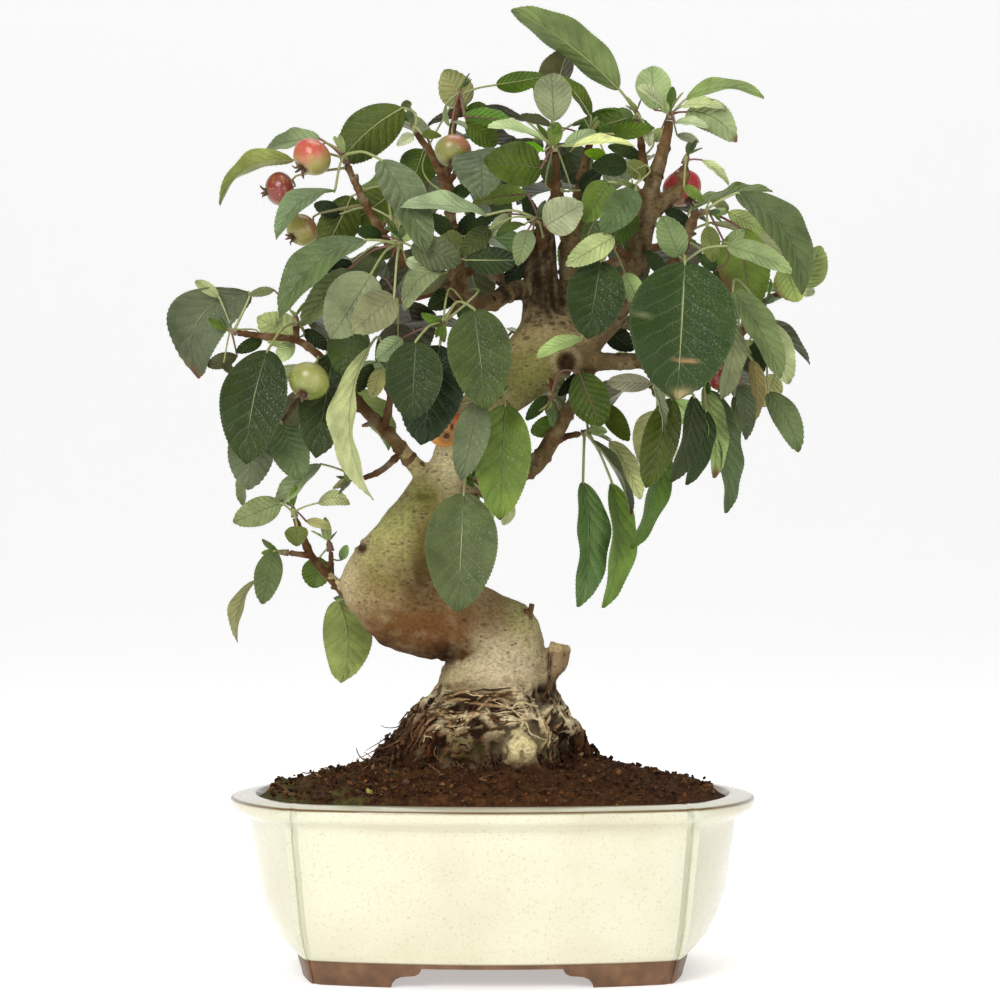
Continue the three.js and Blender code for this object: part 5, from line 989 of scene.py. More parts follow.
# ---------------------------------------------------------------- leaves
# Leaves 10 to 65 mm long in small groups, each group on a short knobbly spur at the end of a twig. A blade
# is leathery, dark and satin above, paler and matt below, pointed, finely toothed, a little folded along
# its pale rib and wavy at the margin. It hangs on a thin yellow-green or red-brown stalk.
# A leaf is: foot (u, v), tip (u, v), seen width, depth of foot and tip in mm, the face that shows
# (1 upper, -1 under), its tone and, on a curved blade, how far its middle stands to the left.
SPRAYS = {
  "top_left_tip": {"way": [-0.3, 0, 1], "leaves": [
    [320, 139, 263, 151, 20, -8, 8, 1, "v"], [293, 160, 219, 204, 14, -10, -19, -1, "x", -12],
    [335, 190, 276, 239, 22, -41, -55, 1, "q", -8], [381, 160, 427, 252, 38, -30, -51, 1, "o"]]},
  "left_twig_mid": {"way": [0.5, -0.3, 0.8], "leaves": [
    [352, 196, 320, 260, 38, -16, -13, -1, "e"], [394, 192, 352, 222, 36, -10, -5, -1, "f"],
    [397, 228, 404, 208, 10, -38, -42, 1, "J"], [392, 240, 416, 222, 22, -22, -15, 1, "J"]]},
  "left_knot": {"way": [0.1, -0.5, 0.8], "leaves": [
    [366, 240, 279, 318, 34, -48, -58, 1, "m", -10], [348, 269, 301, 326, 26, -45, -50, 1, "s"],
    [371, 274, 331, 339, 50, -60, -66, 1, "v"], [394, 296, 353, 332, 36, -68, -74, 1, "v"],
    [406, 260, 421, 266, 12, -43, -40, 1, "H"], [411, 246, 462, 262, 30, -46, -44, 1, "l"],
    [378, 252, 347, 292, 28, -30, -30, 1, "h"]]},
  "left_inner": {"way": [-0.3, -0.5, 0.8], "leaves": [
    [455, 256, 446, 232, 24, -30, -20, 1, "z"], [440, 270, 404, 310, 22, -44, -54, 1, "v", -9],
    [447, 272, 400, 290, 24, -37, -41, -1, "l"], [466, 260, 518, 260, 26, -38, -42, -1, "b"]]},
  "front_left": {"way": [-0.2, -0.9, -0.2], "leaves": [
    [474, 309, 487, 410, 58, -58, -66, 1, "d"], [416, 341, 412, 421, 52, -64, -68, 1, "c"],
    [440, 345, 421, 445, 60, -50, -54, 1, "a"], [402, 338, 377, 360, 20, -50, -48, 1, "I"]]},
  "left_low_fork": {"way": [0, -0.8, 0.5], "leaves": [
    [370, 346, 372, 500, 24, -46, -46, 1, "F", -12], [381, 368, 372, 398, 16, -28, -26, 1, "G"]]},
  "left_low_mid": {"way": [0, -0.5, 0.8], "leaves": [
    [352, 322, 345, 378, 40, -32, -36, 1, "d"], [334, 353, 316, 458, 50, -22, -28, 1, "c"]]},
  "left_low_side": {"way": [0, -0.3, 0.9], "leaves": [
    [268, 350, 246, 464, 61, -32, -36, 1, "c", -4], [297, 338, 257, 318, 34, -6, -2, -1, "B"],
    [294, 342, 277, 361, 16, -6, -4, 1, "G"], [274, 290, 249, 295, 9, -20, -22, 1, "v"]]},
  "left_low_end": {"way": [-0.9, 0, 0.3], "leaves": [
    [249, 292, 198, 379, 58, -4, 2, 1, "k", -29], [219, 297, 195, 281, 11, -8, -4, 1, "z"],
    [237, 356, 207, 366, 15, -5, -2, 1, "g"], [224, 362, 233, 374, 9, -12, -14, 1, "g"]]},
  "left_low_hang": {"way": [-0.8, -0.2, -0.5], "leaves": [
    [255, 420, 248, 490, 44, -16, -18, 1, "k"], [282, 424, 301, 480, 36, -22, -24, 1, "o"],
    [246, 466, 243, 506, 11, -4, -2, 1, "v"]]},
  "left_low_twig": {"way": [-0.9, -0.1, -0.1], "leaves": [
    [321, 464, 273, 512, 18, -8, -10, 1, "A"], [352, 466, 347, 481, 11, -12, -13, 1, "v"]]},
  "low_shoot_tip": {"way": [-0.2, 0, 1], "leaves": [
    [281, 503, 233, 522, 27, -14, -17, 1, "v"], [318, 503, 350, 504, 15, -12, -10, 1, "B", 6],
    [297, 526, 296, 546, 22, -18, -22, 1, "p"], [306, 521, 331, 528, 9, -6, -2, 1, "G"]]},
  "low_shoot_side": {"way": [-1, 0, 0.1], "leaves": [
    [274, 551, 262, 604, 26, -20, -24, 1, "m"], [255, 580, 237, 642, 13, -12, -12, 1, "v", -4]]},
  "low_shoot_inner": {"way": [-0.2, 0.1, 1], "leaves": [
    [320, 557, 313, 588, 28, 8, 10, 1, "n"], [341, 560, 347, 545, 9, 6, 7, 1, "B"]]},
  "bend_back": {"way": [-0.2, 1, 0], "leaves": [[338, 600, 341, 683, 48, 32, 32, -1, "y", 8]]},
  "top_left_twig": {"way": [-0.4, 0, 0.9], "leaves": [
    [403, 108, 341, 162, 46, 2, -6, -1, "e", -6], [401, 108, 411, 102, 8, 10, 14, 1, "j"],
    [413, 135, 397, 145, 11, -2, -10, 1, "I"], [422, 134, 441, 136, 9, 0, -6, 1, "j"],
    [424, 149, 412, 184, 38, 14, 16, -1, "e"]]},
  "top_bud": {"way": [0.1, 0, 1], "leaves": [
    [466, 106, 444, 70, 34, 22, 24, -1, "w"], [496, 85, 546, 76, 20, 10, 14, -1, "f"],
    [464, 116, 513, 123, 15, 4, 0, -1, "n"], [466, 109, 490, 114, 18, 18, 23, 1, "f"],
    [446, 104, 449, 126, 5, 6, 3, 1, "A"], [452, 122, 467, 129, 7, 0, -8, 1, "A"],
    [466, 120, 497, 145, 26, 14, 20, 1, "i"]]},
  "top_centre": {"way": [0, -0.2, 1], "leaves": [
    [554, 121, 551, 73, 36, -22, -12, 1, "v"], [553, 146, 557, 122, 14, -30, -26, 1, "p"],
    [564, 146, 596, 131, 12, -30, -27, 1, "A"], [573, 146, 635, 146, 10, -32, -36, 1, "G"],
    [544, 140, 488, 126, 12, -32, -42, 1, "I"], [544, 151, 522, 145, 8, -30, -36, 1, "u"],
    [541, 168, 484, 161, 42, -34, -46, 1, "e"]]},
  "centre_front": {"way": [0, -0.9, 0.3], "leaves": [
    [487, 215, 400, 207, 19, -36, -50, 1, "A"], [545, 226, 583, 204, 36, -36, -42, 1, "A"],
    [490, 228, 460, 254, 20, -34, -37, 1, "d"], [508, 214, 488, 238, 12, -28, -32, 1, "E"],
    [525, 224, 497, 236, 11, -32, -42, 1, "e"], [528, 230, 517, 265, 20, -40, -50, 1, "q"],
    [527, 194, 472, 203, 16, -16, -18, -1, "r"]]},
  "top_left_inner": {"way": [0.5, -0.6, 0.6], "leaves": [[479, 150, 483, 198, 53, -15, -34, 1, "k"]]},
  "top_back": {"way": [0.1, -0.1, 1], "leaves": [
    [591, 116, 559, 76, 12, 6, 12, -1, "i"], [551, 126, 515, 118, 11, 2, 8, 1, "g"],
    [606, 133, 600, 122, 9, -6, -12, 1, "n"], [613, 134, 654, 128, 16, -8, -14, 1, "f"],
    [606, 157, 585, 152, 12, -10, -16, 1, "u"], [586, 158, 588, 178, 10, 11, 14, 1, "C"],
    [570, 152, 563, 175, 14, 10, 8, 1, "b"]]},
  "top_right_twig": {"way": [-0.3, 0, 1], "leaves": [
    [619, 89, 512, 9, 32, 6, 2, -1, "t"], [632, 117, 578, 131, 32, 16, 14, -1, "e"],
    [633, 118, 620, 108, 8, -2, -4, 1, "q"], [647, 130, 650, 146, 10, -10, -15, 1, "C"]]},
  "top_right_tip": {"way": [0.1, -0.1, 1], "leaves": [
    [686, 99, 764, 97, 16, -12, -14, 1, "x", 6], [682, 106, 724, 108, 13, -20, -31, 1, "G"],
    [686, 112, 737, 141, 31, -20, -30, 1, "A", 8], [675, 122, 708, 128, 11, -28, -38, 1, "E"],
    [655, 110, 651, 66, 34, -4, 4, 1, "A"], [664, 107, 638, 86, 12, -20, -30, 1, "I"],
    [667, 113, 661, 99, 9, -18, -20, 1, "B"], [677, 135, 699, 142, 9, 4, 8, 1, "E"],
    [662, 128, 655, 142, 13, -2, 2, 1, "G"]]},
  "right_stub": {"way": [0.3, -0.1, 1], "leaves": [
    [702, 160, 729, 185, 9, -16, -18, 1, "G"], [684, 186, 704, 201, 10, -30, -33, 1, "p"]]},
  "right_spur": {"way": [1, -0.1, 0], "leaves": [
    [737, 193, 803, 294, 38, -26, -32, 1, "h", 14], [728, 212, 765, 232, 18, -12, -8, 1, "B"],
    [711, 199, 729, 210, 10, -16, -12, 1, "v"], [740, 228, 752, 313, 50, -14, -6, -1, "r"],
    [708, 226, 713, 262, 18, -26, -28, 1, "p"], [729, 243, 744, 230, 13, -24, -26, 1, "z"]]},
  "right_hang": {"way": [0, -0.3, -0.9], "leaves": [
    [685, 262, 677, 400, 98, -60, -64, 1, "c"], [680, 257, 662, 216, 28, -50, -52, 1, "s"],
    [727, 246, 792, 272, 22, -36, -42, 1, "z"]]},
  "right_far": {"way": [0.6, 0, 0.7], "leaves": [
    [803, 288, 821, 246, 30, -17, -22, 1, "y"], [785, 264, 798, 302, 32, -10, -12, -1, "B"],
    [800, 292, 815, 291, 10, 10, 14, 1, "D"]]},
  "right_low_end": {"way": [0.6, -0.3, 0.6], "leaves": [
    [768, 323, 789, 384, 30, -8, -10, 1, "F"], [775, 374, 763, 407, 24, 4, 4, 1, "G"],
    [733, 290, 781, 378, 30, -26, -30, 1, "q"], [768, 392, 799, 452, 26, -2, -4, 1, "q", 4]]},
  "right_low_mid": {"way": [0.1, -0.9, -0.2], "leaves": [
    [734, 323, 722, 399, 22, -32, -36, 1, "v"], [741, 384, 746, 440, 18, -20, -22, 1, "h"],
    [752, 360, 753, 422, 16, -14, -14, 1, "w"], [725, 381, 712, 385, 12, -12, -12, 1, "C"],
    [734, 396, 740, 431, 12, -8, -8, 1, "o"]]},
  "right_low_inner": {"way": [0.1, -0.6, -0.7], "leaves": [
    [706, 410, 687, 485, 20, -22, -24, 1, "c"], [704, 388, 715, 478, 22, -14, -15, 1, "z"],
    [710, 390, 727, 513, 26, -4, -4, 1, "h"]]},
  "right_low_front": {"way": [0, -0.6, -0.7], "leaves": [
    [672, 398, 646, 488, 34, -22, -24, 1, "e"], [654, 386, 663, 432, 8, -28, -30, 1, "A"],
    [694, 396, 672, 482, 22, -32, -34, 1, "c"], [662, 440, 632, 549, 22, -10, -10, 1, "f", -1],
    [651, 384, 607, 382, 18, 2, 6, 1, "I"]]},
  "low_right_spur": {"way": [0.8, -0.1, 0.2], "leaves": [
    [583, 482, 579, 607, 32, 0, -4, 1, "m", 2], [612, 483, 604, 608, 27, 6, 4, 1, "n", 3],
    [610, 441, 641, 499, 20, 8, 10, 1, "G"], [593, 440, 632, 514, 8, -2, -6, 1, "q"],
    [603, 404, 629, 441, 20, 14, 14, 1, "f"], [590, 428, 607, 432, 10, 0, -2, 1, "B"]]},
  "burl_under": {"way": [0, -0.5, -0.8], "leaves": [
    [579, 372, 601, 426, 38, -18, -24, -1, "e"], [548, 402, 556, 422, 12, -10, -10, 1, "l"],
    [563, 420, 531, 433, 20, 4, 8, 1, "r"]]},
  "trunk_front_low": {"way": [0, -1, 0.1], "leaves": [
    [464, 493, 458, 612, 67, -42, -50, 1, "h"], [489, 500, 487, 525, 14, -13, -12, 1, "B"],
    [513, 505, 503, 525, 12, -11, -11, 1, "F"]]},
  "trunk_front_high": {"way": [0, -1, 0.2], "leaves": [
    [505, 404, 500, 520, 52, -44, -50, 1, "n"], [480, 400, 461, 480, 32, -56, -60, 1, "k"]]},
  "mid_spur": {"way": [-0.3, -0.9, 0.2], "leaves": [
    [601, 261, 588, 339, 54, -40, -44, 1, "c"], [614, 237, 566, 265, 24, -42, -48, 1, "C"],
    [625, 273, 641, 308, 20, -28, -30, 1, "B"], [582, 338, 537, 357, 14, -30, -36, 1, "B"]]},
  "fork_front": {"way": [-0.4, -0.8, 0.3], "leaves": [
    [609, 182, 584, 222, 30, -28, -38, 1, "n"], [636, 190, 601, 234, 30, -34, -44, 1, "m"],
    [636, 214, 616, 243, 20, -22, -24, 1, "e"], [627, 165, 592, 166, 22, -16, -22, 1, "c"],
    [646, 165, 628, 172, 20, -14, -18, -1, "p"]]},
}
WHORLS = {
  "back_left_mid": {"limb": "backLeft", "way": [-0.3, 0.8, 0.4], "count": 5, "turn": 0.5},
  "back_left_low": {"way": [-0.6, 0.6, -0.1], "count": 5, "turn": 0.6},
  "back_left_top": {"way": [0, 0.8, 0.3], "count": 5, "turn": 5.1},
  "back_right_mid": {"limb": "backRight", "way": [0.1, 0.8, 0.5], "count": 5, "turn": 2},
  "back_right_high": {"way": [0.5, 0.7, 0.3], "count": 5, "turn": 5.8},
  "back_top": {"way": [-0.1, 0.5, 0.9], "count": 5, "turn": 1.7},
  "back_right_out": {"limb": "backRightOuter", "way": [0.4, 0.8, 0.4], "count": 5, "turn": 6.1},
  "back_right_low": {"way": [0.3, 0.8, 0.3], "count": 5, "turn": 4.1},
  "back_middle": {"limb": "backMiddle", "way": [-0.2, 0.9, 0.1], "count": 5, "turn": 6.2},
  "back_left_far": {"way": [0.1, 0.9, 0.3], "count": 5, "turn": 3},
}
LIMB_OF = {"left_knot": "leftOuter", "left_inner": "left", "left_low_end": "lowLeft",
           "low_shoot_tip": "lowShoot", "top_back": "light", "top_right_tip": "rightForkLeft",
           "right_stub": "rightForkRight", "right_spur": "rightInner", "right_low_end": "rightLow"}
# Beside each leaf's own colour, the tones carry painted light and shade: leaves that lie in shade are painted darker
# and leaves that catch the sheen paler.
TONES = {"a": (31, 44, 13), "b": (42, 53, 13), "c": (42, 60, 13), "d": (65, 80, 31), "e": (73, 88, 15),
         "f": (80, 108, 15), "g": (82, 80, 47), "h": (83, 95, 57), "i": (96, 115, 27), "j": (98, 119, 38),
         "k": (88, 100, 69), "l": (97, 99, 65), "m": (92, 111, 62), "n": (104, 133, 45), "o": (100, 123, 73),
         "p": (118, 130, 58), "q": (111, 126, 80), "r": (121, 145, 53), "s": (111, 139, 81), "t": (118, 148, 76),
         "u": (137, 201, 18), "v": (139, 140, 98), "w": (152, 140, 84), "x": (148, 168, 90), "y": (155, 183, 95),
         "z": (158, 178, 107), "A": (156, 169, 126), "B": (181, 196, 122), "C": (176, 190, 142), "D": (179, 201, 139),
         "E": (194, 184, 145), "F": (201, 191, 138), "G": (213, 223, 144), "H": (225, 225, 166), "I": (206, 212, 158),
         "J": (190, 204, 138)}
MARKS = {  # (across, along, reach across, reach along, colour) of a blemish on one leaf
    ("right_hang", 0): [(-0.12, 0.16, 0.05, 0.02, (196, 176, 130)), (0.14, 0.72, 0.2, 0.012, (170, 132, 92)),
                        (0.3, 0.97, 0.5, 0.04, (176, 160, 110)), (-0.7, 0.42, 0.05, 0.02, (150, 150, 110))],
    ("left_low_end", 0): [(0, 1, 1, 0.07, (130, 84, 56))], ("right_spur", 3): [(0.9, 0.7, 0.2, 0.2, (120, 72, 50))],
    ("right_far", 1): [(1, 0.6, 0.2, 0.3, (140, 98, 60))],
    ("right_low_inner", 1): [(0, 0.97, 1, 0.06, (120, 70, 50))],
    ("low_right_spur", 3): [(0, 1, 1, 0.08, (112, 76, 54))], ("top_right_tip", 2): [(0, 1, 1, 0.06, (128, 92, 58))],
    ("left_low_side", 1): [(0.2, 0.55, 0.16, 0.06, (38, 26, 18))],
    ("front_left", 2): [(-0.9, 0.4, 0.1, 0.06, (120, 110, 70))],
}
YOUNG = "Bnq"
FOOT_ROUND, TIP_ROUND = 0.64, 0.58


def blade_pattern(rows, columns):
    """A flat leaf of two skins: its mesh, and along, across and skin (1 the lower) of every vertex."""
    bpy.ops.object.select_all(action="DESELECT")
    bpy.ops.mesh.primitive_grid_add(x_subdivisions=columns, y_subdivisions=rows, size=2)
    piece = bpy.context.object
    skin = piece.modifiers.new("two skins", "SOLIDIFY")
    skin.thickness = 0.1
    skin.offset = -1
    skin.material_offset = 1
    bpy.ops.object.modifier_apply(modifier="two skins")
    bpy.ops.object.shade_smooth_by_angle(angle=math.radians(50))
    co = points_of(piece).astype(float)
    return piece, (co[:, 1] + 1) / 2, co[:, 0], (co[:, 2] < -0.05).astype(float), rows


PATTERNS = [(18, blade_pattern(18, 6)), (30, blade_pattern(30, 6)),  # leaves up to so many mm long
            (44, blade_pattern(44, 8)), (1000, blade_pattern(62, 8))]


def unit(v):
    return v / np.linalg.norm(v)


def vein_group():
    """Masks from the blade's own squares: the rib, the side veins, the margin and a height for relief."""
    tree = bpy.data.node_groups.new("leaf_veins", "ShaderNodeTree")
    for name in ("Rib", "Veins", "Margin", "Height"):
        tree.interface.new_socket(name, in_out="OUTPUT", socket_type="NodeSocketFloat")
    out = tree.nodes.new("NodeGroupOutput")

    wires = Wires(tree)
    op = wires.math
    uv = wires.node("UVMap").outputs["UV"]
    parts = wires.node("SeparateXYZ", {0: uv}).outputs
    signed, along = op("MULTIPLY_ADD", parts["X"], 2.0, -1.0), parts["Y"]
    across = op("ABSOLUTE", signed)
    rib_width = op("MULTIPLY_ADD", along, -0.03, 0.045)
    rib = op("SUBTRACT", 1.0, op("SMOOTH_MIN", op("DIVIDE", across, rib_width), 1.0, 0.15))
    side = op("MULTIPLY", op("SIGN", signed), 0.22)
    slant = op("MULTIPLY", op("POWER", across, 0.8), -2.0)
    phase = op("ADD", op("MULTIPLY_ADD", along, 8.5, slant), op("MULTIPLY_ADD", wires.noise(160.0), 0.5, side))
    wave = op("ABSOLUTE", op("SUBTRACT", op("FRACT", phase), 0.5))
    line = op("MAXIMUM", op("MULTIPLY_ADD", wave, -11.0, 1.0), 0.0)
    veins = op("MULTIPLY", line, op("MULTIPLY_ADD", across, -0.9, 1.0))
    margin = op("MAXIMUM", op("MULTIPLY_ADD", across, 14.0, -13.0), 0.0)
    net = op("MINIMUM", op("MULTIPLY", wires.cells(700.0, "DISTANCE_TO_EDGE"), 5.0), 1.0)
    pillow = op("MULTIPLY", op("SINE", op("MULTIPLY", wave, math.pi)), -0.6)
    height = op("ADD", op("MULTIPLY_ADD", net, 0.22, pillow), op("MULTIPLY", rib, -1.0))
    for name, value in zip(("Rib", "Veins", "Margin", "Height"), (rib, veins, margin, height)):
        tree.links.new(value, out.inputs[name])
    return tree


leaf_veins = vein_group()


def leaf_skin(name, rough, rib_colour, rib_share, vein_share, pale, relief):
    leaf = Shader(name, rough, Specular_IOR_Level=0.24)
    tone = leaf.painted()
    veins = leaf.node("Group", node_tree=leaf_veins).outputs
    colour = leaf.mix(pale, tone, linear(168, 180, 150))
    # Darker clouds are partly the leaf's own blotches, partly painted shade of the blade's undulations; the pale grey
    # specks are a painted sheen.
    colour = leaf.mix(leaf.ramp(leaf.noise(90.0, 4.0), (0.36, 0.7), (0.6, 0.0)),
                      colour, leaf.mix(0.5, tone, linear(20, 32, 16)))
    colour = leaf.mix(leaf.ramp(leaf.noise(1500.0), (0.66, 0.0), (0.84, 0.2)), colour, linear(190, 196, 170))
    for mask, share in (("Veins", vein_share), ("Rib", rib_share), ("Margin", 0.06)):
        colour = leaf.mix(leaf.math("MULTIPLY", veins[mask], share), colour, rib_colour)
    return leaf.finish(colour, veins["Height"], 0.0006, relief)


upper_skin = leaf_skin("leaf_upper", 0.36, linear(168, 182, 140), 0.5, 0.12, 0.0, 0.9)
under_skin = leaf_skin("leaf_under", 0.62, linear(188, 198, 158), 0.8, 0.4, 0.3, 0.6)
stalk = Shader("leaf_stalk", 0.5)
grain = stalk.noise(500.0, 5.0)
shades = stalk.mix(stalk.ramp(grain, (0.4, 0.0), (0.7, 0.3)), stalk.painted(), linear(96, 60, 44))
stalk_skin = stalk.finish(shades, grain, 0.0003, 0.4)


def blade(foot, tip, upper, width, bow, tone, marks, seed):
    """One leaf blade, and the line of its rib: everything in mm."""
    draw = random.Random(seed)
    length = float(np.linalg.norm(tip - foot))
    pattern, t, s, lower, rows = next(p for limit, p in PATTERNS if length <= limit or limit == 1000)
    small = length < 25
    along = unit(tip - foot)
    normal = unit(upper - along * upper.dot(along))
    across = np.cross(normal, along)
    waves, phase, slip = draw.uniform(1.6, 3.2), draw.uniform(0, 6.28), draw.uniform(-0.1, 0.1)

    def middle(t):
        crest = 0.07 * length * 4 * t * (1 - t) - 0.25 * length * np.maximum(0, t - 0.82) ** 2
        return foot + np.outer(t, along) * length + np.outer(crest, normal) + np.outer(4 * t * (1 - t), bow)

    roundness = FOOT_ROUND + (TIP_ROUND - FOOT_ROUND) * cap((t - 0.5) / 0.4)
    half = 0.52 * width * np.maximum(np.sin(math.pi * cap(t) ** 0.85), 0) ** roundness
    half *= 1 - 0.3 * cap((t - 0.9) / 0.07) * (t < 0.999)
    half = np.maximum(half, 0.22)
    odd = (np.round(t * rows) % 2 == 1) & (np.abs(s) > 0.99) & (t > 0.06) & (t < 0.97)
    tooth = 0.006 * width + 0.12
    reach = s * (half + odd * tooth)
    k = (np.interp(t, (0, 0.26, 0.7, 1), (-0.6, 0, 1, 1.7)) if small
         else np.interp(t, (0, 0.14, 0.45, 0.8, 1), (-0.45, 0, 1, 2, 2.6)))
    lift = 0.3 * half * np.abs(s) ** 1.15 + 0.5 * min(1, width / 12) * np.sin(2.4 * k + 1.3 * np.sign(s)) * s * s
    lift += 0.045 * width * np.sin(2 * math.pi * waves * t + phase + 1.9 * np.sign(s)) * s * s * np.sin(math.pi * t)
    lift -= 0.012 * width * np.sin(math.pi * t) * (1 - np.abs(s)) ** 4
    twist = slip * (t - 0.5) * half * s
    forward = odd * 0.35 * length / rows
    thick = 0.32 if not small else 0.24
    co = middle(t) + np.outer(reach, across) + np.outer(lift + twist - lower * thick, normal) + np.outer(forward, along)
    piece = pattern.copy()
    piece.data = pattern.data.copy()
    bpy.context.scene.collection.objects.link(piece)
    piece.data.vertices.foreach_set("co", (co / 1000).ravel().astype(np.float32))
    body = np.array(linear(*[c * draw.uniform(0.93, 1.07) for c in tone]))
    tint = 1 + 0.1 * np.sin(3 * t + phase) + 0.06 * s * math.sin(phase)
    colour = np.outer(tint, body)
    for mark_s, mark_t, reach_s, reach_t, mark in marks:
        share = cap(1.5 * np.exp(-(((s - mark_s) / reach_s) ** 2 + ((t - mark_t) / reach_t) ** 2)), 0.92)[:, None]
        colour = colour * (1 - share) + np.array(linear(*mark)) * share
    paint(piece, "tone", colour)
    piece.data.materials.append(upper_skin)
    piece.data.materials.append(under_skin)
    stations = np.linspace(0.03, 0.93, 7)
    rib = [p - normal * (thick + 0.22 - 0.16 * k / 6) for k, p in enumerate(middle(stations))]
    return piece, rib, length, along


def spray(name, spur_place, spur_radius, spur_way, pointing, leaves):
    """A spur with its leaves: leaves(root i, way) gives foot, tip, upper, width, bow, tone and marks."""
    draw = random.Random(name)
    way = unit(np.array(pointing, float))
    turn = math.acos(max(-1, min(1, way.dot(spur_way))))
    seat = 0.1 + 0.9 * spur_radius * math.sin(turn)
    core = [(spur_place + way * (seat + 4.6 * k / 8), r)
            for k, r in enumerate((1.5, 1.7, 1.35, 1.6, 1.25, 1.45, 1.15, 0.95, 0.5))]
    runs = [[(Vector(p) / 1000, r / 1000) for p, r in core]]
    tones = [linear(104, 74, 56)] * len(core)
    pieces, stalk_tones = [], []
    count = len(leaves)
    for i, spec in enumerate(leaves):
        root = spur_place + way * (seat + 1.2 + 2.6 * (i + 0.5) / count)
        foot, tip, upper, width, bow, tone, marks = spec(root, way)
        piece, rib, length, along = blade(foot, tip, upper, width, bow, tone, marks, name + str(i))
        pieces.append(piece)
        reach = np.linalg.norm(foot - root)
        fat = 0.34 + 0.006 * min(length, 40)
        points = [root, foot]
        elbow = (root + foot) / 2
        if (foot - root).dot(along) < 0:
            points.insert(1, elbow - along * 0.35 * reach)
        elif reach > 3:
            points.insert(1, elbow + np.array((0, 0, 0.12 * reach if reach > 18 else 0.05 * reach)))
        thickness = (1.25, 0.95, 1) if len(points) == 3 else (1.25, 1)
        rows = [(Vector(p) / 1000, fat * r / 1000) for p, r in zip(points, thickness)]
        rows += [(Vector(p) / 1000, fat * (0.62 - 0.07 * j) / 1000) for j, p in enumerate(rib)]
        runs.append(smooth_run(rows, 2.2))
        stalk_tones.append(linear(*draw.choice(((152, 160, 98), (160, 166, 112), (140, 146, 88), (124, 84, 72)))))
    side = unit(np.cross(way, (0.3, 0.2, 1)))
    over = np.cross(side, way)
    for i in range(4):  # young leaves still folded round the bud
        angle, opened, long = draw.uniform(0, 6.28), draw.uniform(0.25, 0.9), draw.uniform(5, 11)
        out = way * math.cos(opened) + math.sin(opened) * (side * math.cos(angle) + over * math.sin(angle))
        foot = spur_place + way * (seat + 4.2)
        upper = unit(way - out * way.dot(out))
        pieces.append(blade(foot, foot + out * long, upper, long * 0.34, upper * -0.6, TONES[draw.choice(YOUNG)], (),
                            name + "young" + str(i))[0])
    stalks = sweep("stalks", runs, 6)
    tree = KDTree(sum(len(run) for run in runs))
    colours = []
    for run, shade in zip(runs, [linear(104, 74, 56)] + stalk_tones):
        for place, radius in run:
            tree.insert(place, len(colours))
            colours.append(shade)
    tree.balance()
    paint(stalks, "tone", np.array([colours[tree.find(p)[1]] for p in points_of(stalks)]))
    stalks.data.materials.append(stalk_skin)
    bpy.ops.object.shade_smooth()
    whole = join(*pieces, stalks)
    whole.name = whole.data.name = "spray_" + name
    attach(whole, "root")
    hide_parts("leaves_" + name)


def mm(u, v, depth):
    return np.array(at(u, v, depth)) * 1000


def laid(name, i, row):
    """A leaf that is seen from the front, from its row of the table."""
    u0, v0, u1, v1, seen, depth0, depth1, face, tone = row[:9]
    curve = row[9] if len(row) > 9 else 0
    foot, tip = mm(u0, v0, depth0), mm(u1, v1, depth1)
    width = max(seen * SQUARE_MM, 0.36 * np.linalg.norm(tip - foot))
    turned = math.acos(min(1, seen * SQUARE_MM / width))
    lean = unit(np.array((foot[2] - tip[2], 0, tip[0] - foot[0])))
    if (lean[0] * foot[0] if abs(lean[2]) < 0.35 else lean[2]) < 0:
        lean = -lean
    upper = np.array((0, -face * math.cos(turned), 0)) + lean * math.sin(turned)
    bow = unit(np.array((v1 - v0, 0, u1 - u0), float)) * curve * SQUARE_MM
    return lambda root, way: (foot, tip, upper, width, bow, TONES[tone], MARKS.get((name, i), ()))


def whorled(i, turn, tone):
    """A leaf of the whorls round the back, spread about the spur by the golden angle."""
    def place(root, way):
        side = unit(np.cross((0, 0, 1), way))
        over = np.cross(way, side)
        angle, opened = turn + i * 2.4, 1.15 * (0.55 + 0.45 * ((i * 0.618) % 1))
        out = way * math.cos(opened) + math.sin(opened) * (side * math.cos(angle) + over * math.sin(angle))
        foot = root + out * 14 * (0.8 + 0.4 * ((i * 0.377) % 1))
        hang = unit(out + np.array((0, 0, -0.6 - 0.3 * ((i * 0.731) % 1))))
        tip = foot + hang * 38 * (0.85 + 0.25 * ((i * 0.417) % 1))
        return foot, tip, 0.5 * out + np.array((0, 0, 1)), 19, np.zeros(3), TONES[tone], ()
    return place


def end_of(rows):
    (u0, v0, d0, _), (u1, v1, d1, r) = rows[-2:]
    before, end = mm(u0, v0, d0), mm(u1, v1, d1)
    return end, r, unit(end - before)


